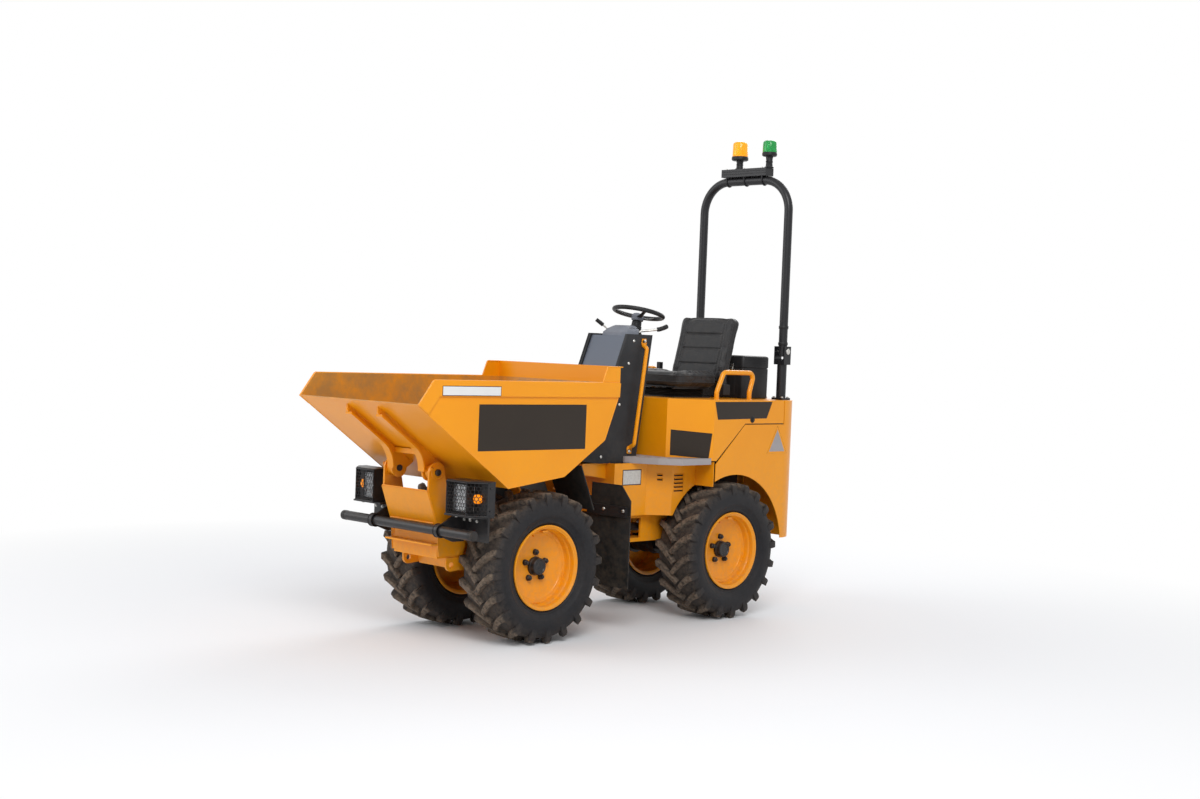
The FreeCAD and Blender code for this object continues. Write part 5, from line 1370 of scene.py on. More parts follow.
    def build(self) -> None:
        """Dresses the front chassis."""
        self.lamps()
        self.mesh()
        self.guards()
        self.boxes()
        self.tower()
        self.flaps()
        self.motors()


# Rear chassis

LEAN = math.radians(12)
COLUMN = Vector((0, math.sin(LEAN), math.cos(LEAN)))
"""Axis of the steering column."""


@dataclass
class Console(Assembly):
    """Panel, screws, handles, column pod, levers, pedals and the steering wheel."""

    cheek_side: float = 152.1
    wheel_centre: tuple = (0, 286, 1683)
    wheel_radius: float = 0.137
    wheel_grip: float = 0.0126
    handle_bar: float = 0.011
    # sections of a spoke in metres: place out from the hub, drop, half width, half thickness
    spoke: tuple = ((0.022, 0.024, 0.017, 0.006), (0.050, 0.024, 0.014, 0.0055),
                    (0.085, 0.016, 0.011, 0.005), (0.115, 0.006, 0.011, 0.005),
                    (0.130, 0.001, 0.014, 0.006))
    cheek_screws: tuple = ((100, 1526), (66, 1403), (6, 1180), (-120, 900))
    edge_line: tuple = ((-198, 988), (-34, 1342), (52, 1561))
    handle_line: tuple = (at(156, 170, 1503), at(186, 169, 1488), at(186, 96, 964), at(156, 95, 949))
    handle_feet: tuple = ((176, 1516, 1), (91, 938, -1))
    pod_levels: tuple = ((1553.4, -96, 96, 82, 232), (1572, -94, 94, 84, 230), (1592, -78, 78, 108, 226),
                         (1606, -58, 58, 132, 222), (1611, -46, 46, 146, 214))
    sleeve_outline: tuple = ((-58, 0), (-58, 26), (-50, 30), (-30, 30), (-28, 28), (-12, 27.5), (-3, 26),
                             (-1, 24), (-1, 11), (29, 11), (30, 9), (30, 0))
    dial_outline: tuple = ((0, 0), (0, 20), (3, 22), (6, 22), (6, 19), (4.5, 18.5), (4.5, 0))
    lever_line: tuple = (at(90, 205, 1553.4), at(90, 205, 1580), at(165, 300, 1596), at(170, 325, 1606))
    short_lever_line: tuple = (at(-70, 130, 1553.4), at(-74, 118, 1590), at(-96, 88, 1618))
    grip_line: tuple = (at(150, 281, 1593), at(158, 291, 1595), at(168, 313, 1603), at(171, 330, 1610),
                        at(172, 338, 1613))
    short_grip_line: tuple = (at(-88, 99, 1608), at(-98, 85, 1621), at(-108, 71, 1633), at(-111, 67, 1637))
    boot_outline: tuple = ((0, 0), (0, 20), (3, 20), (6, 15), (9, 16), (12, 11.5), (15, 12.5), (18, 8.5),
                           (20, 6), (20, 0))
    pedal_pads: tuple = ((-62, 62), (66, 52))
    spoke_angles: tuple = (90, 210, 330)
    hub_outline: tuple = ((-44, 11.1), (-44, 32), (-40, 34), (-20, 34), (-12, 31), (-6, 26), (-3, 18),
                          (-2, 11.1))

    def panel(self) -> None:
        """Cover sheet let into the shroud's sloping front, with its screws and edge strips."""
        foot, head = at(0, -25, 1342), at(0, 61, 1553)
        along = (head - foot).normalized()
        outward = along.cross(RIGHT).normalized()

        def spot(x: float, reach: float, lift: float) -> Vector:
            """A place on the slope: across, up it and off it in millimetres."""
            return foot + RIGHT * (x / 1000) + along * (reach / 1000) + outward * (lift / 1000)

        sheet = Form().prism([spot(x, reach, 0.3) for x, reach in ((-112, -40), (112, -40), (112, 205),
                                                                   (-112, 205))], outward * 0.003)
        self.piece("console_panel", sheet, Finish.BLUE_GREY, edge=0.0012)
        screws = Form()
        for x in (-103, 103):
            for reach in (-30, 195):
                screws.lathe([(0, 0), (0, 5.5), (1, 5.5), (2.4, 3.8), (2.6, 0)], spot(x, reach, 3.3),
                             outward, 20)
        for y, z in self.cheek_screws:
            for side in (1, -1):
                screws.lathe([(0, 0), (0, 8), (1.2, 8), (3.4, 5.6), (3.6, 0)],
                             at(side * self.cheek_side, y, z), RIGHT * side, 24)
        self.piece("console_screws", screws, Finish.ZINC, angle=40.0)
        strip = Form()
        line = [at(148.2, y, z) for y, z in self.edge_line]
        for first, second in zip(line, line[1:]):
            strip.rod(first, second, 0.0042, 12)
        self.piece("console_edges", strip.mirror(), Finish.CHARCOAL, angle=50.0)

    def handles(self) -> None:
        """Round bars on plates that are bolted to the cheeks."""
        line = rounded(self.handle_line, 0.016)
        form, bolts = Form().pipe(line, self.handle_bar, 16), Form()
        for y, z, lift in self.handle_feet:
            form.rod(at(152.4, y, z), at(158.4, y, z), 0.019, 28)
            form.box(at(152.4, y - 16, z + min(0, lift * 24)), at(158.4, y + 16, z + max(0, lift * 24)))
            bolts.bolt(at(158.5, y + lift * 4, z + lift * 12), RIGHT, 8)
        self.piece("handles", form.mirror(), Finish.YELLOW, edge=0.0012, over=("grab_handles",))
        self.piece("handle_bolts", bolts.mirror(), Finish.ZINC)

    def pod(self) -> None:
        """Moulded pod over the column with its dial, sleeve and switches."""
        form = Form().stack(self.pod_levels, 38)
        self.piece("column_pod", form, Finish.GREY_PLASTIC, angle=40.0)
        top = at(*self.wheel_centre) - COLUMN * 0.046
        shaft = Form().lathe(self.sleeve_outline, top, COLUMN, 40)
        for number in range(3):
            low, wide = -52 + number * 9, 33 - number
            shaft.lathe([(low, 25), (low, wide), (low + 4, wide), (low + 4, 25)], top, COLUMN, 40)
        self.piece("column_sleeve", shaft, Finish.BLACK_PLASTIC, angle=40.0)
        dial = Form().lathe(self.dial_outline, at(-66, 176, 1589),
                            Vector((-0.25, -0.1, 1)).normalized(), 36)
        for y in (150, 176, 202):
            dial.box(at(55, y - 8, 1583), at(75, y + 8, 1597))
        self.piece("pod_switches", dial, Finish.BLACK_PLASTIC, edge=0.0012)

    def levers(self) -> None:
        """Bent stalks with their grips and boots."""
        stalks = Form().pipe(rounded(self.lever_line, 0.014), 0.0065, 12)
        stalks.pipe(rounded(self.short_lever_line, 0.012), 0.005, 12)
        grips = Form().pipe(self.grip_line, 0.0125, 16)
        grips.pipe(self.short_grip_line, 0.011, 16)
        self.piece("lever_stalks", stalks, Finish.ZINC, angle=50.0, over=("console_controls",))
        self.piece("lever_grips", grips, Finish.BLACK_PLASTIC, edge=0.002)
        boots = Form()
        for x, y in ((90, 205), (-70, 130)):
            boots.lathe(self.boot_outline, at(x, y, 1553.2), UP, 28)
        self.piece("lever_boots", boots, Finish.RUBBER, angle=60.0)

    def pedals(self) -> None:
        """Two pads with grip ribs on bent arms behind the console."""
        pads, arms, up = Form(), Form(), Vector((0, 0.34, 0.94)).normalized()
        for x, width in self.pedal_pads:
            low, across = at(x - width / 2, 168, 934), RIGHT * (width / 1000)
            pads.prism([low, low + across, low + across + up * 0.085, low + up * 0.085],
                       Vector((0, 0.010, -0.004)))
            for number in range(5):
                foot = low + up * (0.010 + number * 0.016) + Vector((0.004, 0.0095, -0.004))
                pads.box(foot, foot + Vector((width / 1000 - 0.008, 0.0045, 0.006)))
            arms.pipe(rounded([at(x, 149, 1010), at(x, 166, 1004), at(x, 186, 975)], 0.01), 0.006, 12)
        self.piece("pedal_pads", pads, Finish.RUBBER, edge=0.0012)
        self.piece("pedal_arms", arms, Finish.BLACK, angle=50.0)

    def wheel(self) -> None:
        """Grip, three flat spokes and hub pad."""
        centre, other = at(*self.wheel_centre), COLUMN.cross(RIGHT)
        part = bmesh.new()
        bmesh.ops.create_circle(part, segments=16, radius=self.wheel_grip,
                                matrix=set_up(centre + RIGHT * self.wheel_radius, other, RIGHT, 1.0, 1.0))
        bmesh.ops.spin(part, geom=part.verts[:] + part.edges[:], cent=centre, axis=COLUMN, dvec=(0, 0, 0),
                       angle=math.tau, steps=96, use_merge=True)
        form = Form().join(part, merge=True)
        for angle in self.spoke_angles:
            turn = math.radians(angle)
            outward = RIGHT * math.cos(turn) + other * math.sin(turn)
            form.sweep([set_up(centre + outward * reach - COLUMN * drop, outward, COLUMN.cross(outward),
                               half, thick) for reach, drop, half, thick in self.spoke])
        self.piece("wheel_rim", form, Finish.BLACK_PLASTIC, angle=50.0, over=("steering_wheel",),
                   ride=Ride.STEERING)
        pad = Form().lathe(self.hub_outline, centre, COLUMN, 48)
        pad.lathe([(-7, 0), (-7, 12), (-1.6, 12), (-1.2, 0)], centre, COLUMN, 32)
        self.piece("wheel_pad", pad, Finish.GREY_PLASTIC, angle=40.0, ride=Ride.STEERING)

    def build(self) -> None:
        """Dresses the console."""
        self.panel()
        self.handles()
        self.pod()
        self.levers()
        self.pedals()
        self.wheel()


@dataclass(frozen=True)
class Wall:
    """An upright wall of the rear body between two places of its plan."""

    foot: tuple[float, float]
    head: tuple[float, float]

    @property
    def outward(self) -> Vector:
        """Its direction out of the body.

        Returns:
            The direction.
        """
        normal = Vector((self.head[0] - self.foot[0], self.head[1] - self.foot[1],
                         0)).cross(UP).normalized()
        return normal if normal.x > 0 else -normal

    def spot(self, share: float, height: float, proud: float = 0.0) -> Vector:
        """Finds a place on the wall.

        Args:
            share: Part of the way along it.
            height: Its height.
            proud: Its distance off the wall.

        Returns:
            The place.
        """
        place = Vector((*self.foot, height)).lerp(Vector((*self.head, height)),
                                                  share) + self.outward * proud
        return at(*place)


@dataclass
class Body(Assembly):
    """Housing, footplate, hood and tail."""

    slope: Wall = Wall((268, 262), (425, 475))
    side: Wall = Wall((425, 475), (425, 1080))
    housing_slope: Wall = Wall((200, 190), (290, 300))
    housing_side: Wall = Wall((290, 300), (290, 500))
    louvre_height: float = 12.0
    grille: tuple = (190, 620, 960)
    grille_bars: int = 17
    bulge: float = 1080.0
    slope_panel: tuple = ((0.09, 912), (0.09, 1052), (0.97, 1036), (0.91, 897))
    flank_panel: tuple = ((0.005, 1210), (0.05, 1112), (0.745, 1118), (0.82, 1212))
    seal_line: tuple = (at(421.5, 508, 885), at(421.5, 740, 1087.5), at(421.5, 1078, 1087.5))
    latch_outline: tuple = ((0.1, 0), (0.1, 19), (1.4, 19), (2.6, 17.5), (2.6, 13), (1.2, 12), (1.2, 0))
    hinge_bolts: tuple = (-160, -60, 60, 160)
    cap_outline: tuple = ((-1, 0), (-1, 34), (3, 34), (5, 36), (22, 36), (26, 33), (27, 20), (27, 0))

    @staticmethod
    def plate(form: Form, wall: Wall, outline: Sequence[tuple[float, float]], low: float,
              high: float) -> None:
        """A thin plate on a wall, its outline given as (share along, height)."""
        form.prism([wall.spot(share, height, low) for share, height in outline],
                   wall.outward * ((high - low) / 1000))

    def marks(self) -> None:
        """Blank panels where the photograph has signs."""
        dark = Form()
        self.plate(dark, self.slope, self.slope_panel, 0.1, 0.8)
        self.plate(dark, self.side, self.flank_panel, 0.1, 0.8)
        self.piece("hood_panels", dark.mirror(), Finish.DECAL, ride=Ride.HOOD)
        corners = [Vector((1029, 1075)), Vector((940, 917)), Vector((1117, 917))]
        centre = Vector((1028.7, 969.7))
        part = bmesh.new()
        face = part.faces.new([part.verts.new(at(425.1, *corner)) for corner in corners])
        bmesh.ops.inset_region(part, faces=[face], thickness=0.012, use_boundary=True, use_even_offset=True)
        part.faces.ensure_lookup_table()
        hole = min(part.faces, key=lambda item: (item.calc_center_median() - at(425.1, *centre)).length)
        bmesh.ops.delete(part, geom=[hole], context="FACES_ONLY")
        shell = bmesh.ops.extrude_face_region(part, geom=part.faces[:])["geom"]
        top = [item for item in shell if isinstance(item, bmesh.types.BMVert)]
        bmesh.ops.translate(part, vec=RIGHT * 0.0007, verts=top)
        self.piece("tail_sign_border", Form().join(part).mirror(), Finish.BLACK_PLASTIC)
        inner = [centre + (corner - centre) * 0.78 for corner in corners]
        field = Form().prism([at(425.1, *corner) for corner in inner], RIGHT * 0.0005)
        self.piece("tail_sign", field.mirror(), Finish.GREY)
        border = Form().box(at(200.1, 3, 746), at(200.7, 148, 831))
        self.piece("housing_plate_border", border.mirror(), Finish.BLACK_PLASTIC)
        grey = Form().box(at(200.7, 8, 751), at(201.0, 143, 826))
        self.piece("housing_plate", grey.mirror(), Finish.ZINC)

    def louvres(self) -> None:
        """Pressed lips over the housing's slots, with painted shade behind them: near-black sheets that
        stand in for the shade inside the slots.
        """
        lips, dark = Form(), Form()
        slots = [(self.housing_side, 0.08, 0.46, 806 - 21 * number) for number in range(5)]
        slots += [(self.housing_slope, 0.42, 0.64, height) for height in (806, 782)]
        for wall, start, end, height in slots:
            low = height - self.louvre_height
            # a near-black sheet of painted shade just behind each slot
            self.plate(dark, wall, [(start, height), (end, height), (end, low), (start, low)], -5.0, -4.4)
            first = [wall.spot(start, height + lift, proud)
                     for lift, proud in ((3, 0.0), (-3, 6.0), (-4, 4.4), (0, 0.0))]
            lips.prism(first, wall.spot(end, height) - wall.spot(start, height))
        # the painted shade behind the slots, in place of the dark that falls there
        self.piece("louvre_slot_shade", dark.mirror(), Finish.VOID)
        arch = Form().box(at(290.5, 488, 742), at(422, 493, 878))
        self.piece("arch_plates", arch.mirror(), Finish.YELLOW, edge=0.001)
        self.piece("louvre_lips", lips.mirror(), Finish.YELLOW, edge=0.0008)

    def footplate(self) -> None:
        """Raised tread bars on the footplate."""
        bars = Form()
        for row in range(-10, 11):
            for column in range(11):
                x, y = row * 40 + (20 if column % 2 else 0), 66 + column * 40
                edge = 150 + (y - 50) * 1.75 if y < 140 else 318 + (y - 140) * 1.1
                hood = max(268.0, 268 + (y - 262) * 157 / 213) if y > 236 else 0.0
                if abs(x) > min(410.0, edge) or (abs(x) < 168 and y < 168) or (hood and abs(x) < hood + 24):
                    continue
                turn = Matrix.Rotation(math.radians(45 if (row + column) % 2 else -45), 4, "Z")
                bmesh.ops.create_cone(bars.mesh, cap_ends=True, cap_tris=False, segments=10, radius1=0.013,
                                      radius2=0.0094, depth=0.0016,
                                      matrix=Matrix.Translation(at(x, y, 900.8)) @ turn
                                      @ Matrix.Diagonal((1.0, 0.25, 1.0, 1.0)))
        self.piece("tread_bars", bars, Finish.GREY, angle=30.0)

    def hood(self) -> None:
        """Seal along the hood's edge, side latches and hinge bolts."""
        seal = Form().pipe(rounded(self.seal_line, 0.02), 0.0035, 8)
        self.piece("hood_seal", seal.mirror(), Finish.RUBBER, angle=60.0, ride=Ride.HOOD)
        latch = Form().lathe(self.latch_outline, at(425, 800, 1112), RIGHT, 36)
        latch.box(at(426.2, 796, 1101), at(429, 804, 1123))
        self.piece("hood_latches", latch.mirror(), Finish.BLACK_PLASTIC, edge=0.0008, ride=Ride.HOOD)
        bolts = Form()
        for x in self.hinge_bolts:
            bolts.bolt(at(x, 1168, 1220.2), UP, 6)
        self.piece("hinge_bolts", bolts, Finish.ZINC, ride=Ride.HOOD)

    def back(self, x: float, z: float, proud: float) -> Vector:
        """A place on the tail, which leans in above and below its bulge."""
        over = z - self.bulge
        return at(x, 1250 - (over * 40 / 140 if over > 0 else -over * 48 / 650) + proud, z)

    def tail(self) -> None:
        """Grille with bars over a near-black sheet of painted shade for the shade in its openings, and the
        filler cap.
        """
        half, low, high = self.grille
        corners = [(-half, low), (half, low), (half, high), (-half, high)]
        # a near-black sheet of painted shade behind the bars, standing in for the shade in the grille's
        # openings
        dark = Form().prism([self.back(x, z, 0.2) for x, z in corners], BACK * 0.0006)
        bars, frame = Form(), Form()
        for number in range(self.grille_bars):
            z = low + 10 + number * (high - low - 20) / (self.grille_bars - 1)
            bars.prism([self.back(-half, z + lift, proud) for lift,
                        proud in ((-4, -0.5), (7, -0.5), (2, 0.9), (-6, 0.9))], RIGHT * (half / 500))
        border = [(x + math.copysign(9, x), z + (9 if z == high else -9)) for x, z in corners]
        for first, second in zip(border, border[1:] + border[:1]):
            frame.rod(self.back(*first, -2.4), self.back(*second, -2.4), 0.0035, 10)
        self.piece("grille_shade", dark, Finish.VOID)
        self.piece("grille_bars", bars, Finish.BLACK, edge=0.0006)
        self.piece("grille_border", frame, Finish.YELLOW, angle=50.0)
        cap = Form().lathe(self.cap_outline, at(-358, 1120, 1220), UP, 40)
        for number in range(8):
            turn = math.tau * number / 8
            foot = at(-358 + 35 * math.cos(turn), 1120 + 35 * math.sin(turn), 1226)
            cap.rod(foot, foot + UP * 0.015, 0.004, 8)
        self.piece("filler_cap", cap, Finish.BLACK_PLASTIC, angle=40.0)

    def build(self) -> None:
        """Dresses the rear body."""
        self.marks()
        self.louvres()
        self.footplate()
        self.hood()
        self.tail()


@dataclass
class Bar(Assembly):
    """Posts, hoop and beacons of the rollover bar."""

    ride: Ride = Ride.BAR
    place: float = 1170.0
    plate_top: float = 2572.0
    # name, place across, radius, foot, height, radius of the base
    lights: tuple = (("amber", -60, 46, 2648, 88, 50), ("green", 165, 42, 2662, 70, 44))
    lens_ribs: int = 24
    pin_outline: tuple = ((0, 0), (0, 16), (3, 17), (8, 17), (10, 15), (10, 0))
    collar_outline: tuple = ((-9, 24), (-9, 27), (-7, 28.2), (7, 28.2), (9, 27), (9, 24))
    clamp_places: tuple = (-135, 0, 135)

    def posts(self) -> None:
        """Base bolts, gussets and pin heads."""
        bolts, pins, gussets = Form(), Form(), Form()
        for x in (302, 360):
            for y in (-35, 20):
                bolts.bolt(at(x, self.place + y, 1232), UP, 9)
        for side, x in ((1, 358.2), (-1, 289.8)):
            pins.lathe(self.pin_outline, at(x, self.place, 1500), RIGHT * side, 32)
        for depth in (-1, 1):
            gussets.prism([at(322, self.place + depth * reach, z) for reach,
                           z in ((26, 1232), (38, 1232), (26, 1290))], RIGHT * 0.005)
        self.piece("post_bolts", bolts.mirror(), Finish.ZINC, ride=Ride.REAR)
        self.piece("post_pins", pins.mirror(), Finish.ZINC, angle=40.0, ride=Ride.REAR)
        self.piece("post_gussets", gussets.mirror(), Finish.BLACK, edge=0.0008, ride=Ride.REAR)

    def hoop(self) -> None:
        """Collars at the hoop's feet, and the clamps and ribs of the beacon plate."""
        collars, clamps, bolts, ribs = Form(), Form(), Form(), Form()
        for z in (1545, 1640):
            collars.lathe(self.collar_outline, at(324, self.place, z), UP, 40)
        for x in self.clamp_places:
            clamps.pipe(rounded([at(x, self.place - 27.5, 2525), at(x, self.place - 27.5, 2472.4),
                                 at(x, self.place + 27.5, 2472.4), at(x, self.place + 27.5, 2525)], 0.0272,
                                8), 0.0045, 8)
            for y in (-27.5, 27.5):
                bolts.bolt(at(x, self.place + y, self.plate_top + 0.2), UP, 6)
        for z in (2542, 2557):
            for side in (-1, 1):
                ribs.prism([at(-168, self.place + side * reach, z + lift) for reach,
                            lift in ((36, -2.5), (37.6, -1.2), (37.6, 1.2), (36, 2.5))], RIGHT * 0.336)
        self.piece("hoop_collars", collars.mirror(), Finish.BLACK_PLASTIC, angle=40.0)
        self.piece("plate_clamps", clamps, Finish.BLACK, angle=50.0)
        self.piece("plate_bolts", bolts, Finish.ZINC)
        self.piece("plate_ribs", ribs, Finish.BLACK, angle=20.0)

    def dome(self, centre: Vector, radius: float, height: float) -> Form:
        """A lens with fine upright ribs.

        Args:
            centre: Middle of its foot.
            radius: Its radius in millimetres.
            height: Its height in millimetres.

        Returns:
            Its shape.
        """
        form = Form().lathe([(0.2, 0), (0.2, radius - 1), (4, radius), (height * 0.4, radius - 0.8),
                             (height - 20, radius - 1.5), (height - 13, radius - 2.6),
                             (height - 9, radius - 4), (height - 3, radius - 11),
                             (height - 0.5, radius - 24), (height - 0.2, 0)], centre, UP,
                            self.lens_ribs * 4)
        for vert in form.mesh.verts:
            reach = vert.co - centre
            wide = math.hypot(reach.x, reach.y)
            if wide > (radius - 5) / 1000:
                ripple = 0.0009 * max(0.0, math.cos(math.atan2(reach.y, reach.x) * self.lens_ribs))
                vert.co -= Vector((reach.x, reach.y, 0)) / wide * ripple
        return form

    def beacons(self) -> None:
        """Ribbed lenses over a reflector, on rubber bases with their stems."""
        for name, x, radius, foot, height, wide in self.lights:
            centre, finish = at(x, self.place, foot), Finish.AMBER if name == "amber" else Finish.GREEN
            self.piece(f"{name}_dome", self.dome(centre, radius, height), finish, angle=70.0,
                           over=(f"{name}_lens",))
            base = Form().lathe([(-24, 0), (-24, wide - 8), (-20, wide - 1), (-14, wide), (-6, wide),
                                 (-3, wide - 1.5), (-0.2, wide - 2), (-0.2, 0)], centre, UP, 64)
            top = foot - self.plate_top - 24
            base.lathe([(0.3, 0), (0.3, 27), (5, 27), (8, 21), (top * 0.45, 19), (top * 0.5, 21),
                        (top * 0.6, 21), (top * 0.65, 19), (top + 1, 22), (top + 1, 0)],
                       at(x, self.place, self.plate_top), UP, 40)
            base.bolt(at(x, self.place - 21, self.plate_top + top * 0.55), -BACK, 6, washer=False)
            self.piece(f"{name}_base_dress", base, Finish.BLACK_PLASTIC, angle=40.0)
            core = Form().lathe([(0.3, 0), (0.3, radius - 14), (12, radius - 14), (16, radius - 26),
                                 (height - 26, radius - 26), (height - 26, 0)], centre, UP, 32)
            self.piece(f"{name}_core", core, Finish.CHROME, angle=40.0)
        # the two bases share one CAD node: the amber one's dress stands for it
        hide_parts("beacon_bases")

    def build(self) -> None:
        """Dresses the bar."""
        self.posts()
        self.hoop()
        self.beacons()


@dataclass(frozen=True)
class Ram:
    """One ram: its eyes, its barrel's mouth from the foot in metres, and its radii in millimetres."""

    name: str
    ride: Ride
    foot: Vector
    head: Vector
    mouth: float
    outer: float
    rod: float
    barrel: float

    @property
    def axis(self) -> Vector:
        """Direction from the foot to the head."""
        return (self.head - self.foot).normalized()


@dataclass
class Rams(Assembly):
    """Glands and port blocks of the two rams."""

    rams: tuple = (Ram("tip", Ride.TIP_BARREL, at(0, -1240, 650), at(0, -850, 710), 0.345, 31.0, 16.1,
                       27.0), Ram("steer", Ride.STEER_BARREL, at(90, 300, 505), at(130, -100, 505), 0.240,
                                  26.0, 11.1, 22.0))

    def dress(self, ram: Ram) -> None:
        """Gland with its spanner marks, and two ports with their unions.

        Args:
            ram: The ram.
        """
        axis, end, outer, rod = ram.axis, ram.foot + ram.axis * ram.mouth, ram.outer, ram.rod
        gland = Form().lathe([(-26, outer), (-26, outer + 0.8), (-4, outer + 0.8), (-2, outer - 1),
                              (0.5, outer - 2), (3, rod + 3.5), (5, rod + 2.5), (5, rod + 0.05),
                              (-2, rod + 0.05), (-2, outer - 4)], end, axis, 48)
        side = axis.orthogonal().normalized()
        for number in range(6):
            turn = math.tau * number / 6
            way = side * math.cos(turn) + axis.cross(side) * math.sin(turn)
            spot = end - axis * 0.014 + way * ((outer + 0.6) / 1000)
            gland.rod(spot, spot + way * 0.0015, 0.003, 10)
        self.piece(f"{ram.name}_ram_gland", gland, Finish.BLACK, angle=40.0, ride=ram.ride)
        up = RIGHT.cross(axis).normalized() if ram.name == "tip" else UP
        up = up if up.z > 0 else -up
        ports = Form()
        for reach in (0.058, ram.mouth - 0.045):
            seat = ram.foot + axis * reach + up * (ram.barrel / 1000)
            ports.rod(seat - up * 0.002, seat + up * 0.007, 0.011, 20, chamfer=0.001)
            ports.lathe([(0, 0), (0, 8.5), (4.5, 8.5), (5, 7.5), (5, 0)], seat + up * 0.007, up, 6)
        self.piece(f"{ram.name}_ram_ports", ports, Finish.ZINC, angle=40.0, ride=ram.ride)

    def build(self) -> None:
        """Dresses both rams."""
        for ram in self.rams:
            self.dress(ram)


# Seat and deck

@dataclass(frozen=True)
class Pad:
    """A sewn cushion: the line through its middle, its halves and its seams, in millimetres."""

    name: str
    node: str
    spine: tuple
    half_width: float
    half_depth: tuple
    cap: float
    seams: tuple
    bolster: float = 150.0

    def along(self, share: float) -> tuple[Vector, Vector]:
        """Walks along the middle line.

        Args:
            share: Part of the way, from 0 to 1.

        Returns:
            Place and direction there.
        """
        count = len(self.spine) - 1
        index = min(int(share * count), count - 1)
        first, last = Vector(self.spine[index]), Vector(self.spine[index + 1])
        return first.lerp(last, share * count - index), (last - first).normalized()

    def nearest(self, spot: Vector) -> tuple[float, float, Vector, Vector]:
        """The middle line's nearest place to a spot of the side view.

        Args:
            spot: The spot as (y, z).

        Returns:
            Distance, length along the line, direction there and the place.
        """
        reach, found = 0.0, []
        for first, last in zip(self.spine, self.spine[1:]):
            start, way = Vector(first), Vector(last) - Vector(first)
            part = max(0.0, min(1.0, (spot - start).dot(way) / way.length_squared))
            foot = start + way * part
            found.append(((spot - foot).length, reach + part * way.length, way.normalized(), foot))
            reach += way.length
        return min(found, key=lambda item: item[0])

    def start(self) -> Form:
        """The slack shape before it is filled: a rounded slab bent along its middle line.

        Returns:
            The shape.
        """
        form = Form()
        bmesh.ops.create_cube(form.mesh, size=2.0)
        bmesh.ops.subdivide_edges(form.mesh, edges=form.mesh.edges[:], cuts=15, use_grid_fill=True)
        for vert in form.mesh.verts:
            norm = sum(abs(part) ** 7 for part in vert.co) ** (1 / 7)
            u, v, w = vert.co / norm
            spot, way = self.along((v + 1) / 2)
            deep = self.half_depth[0] + (self.half_depth[1] - self.half_depth[0]) * (v + 1) / 2
            rise = 9.0 * max(0.0, min(1.0, (abs(u) * self.half_width - self.bolster)
                                      / 30.0)) if w > 0 else 0.0
            offset = w * deep + rise - (6.0 * max(0.0, w) if rise == 0 else 0.0)
            vert.co = at(u * self.half_width, spot.x - way.y * offset, spot.y + way.x * offset)
        return form


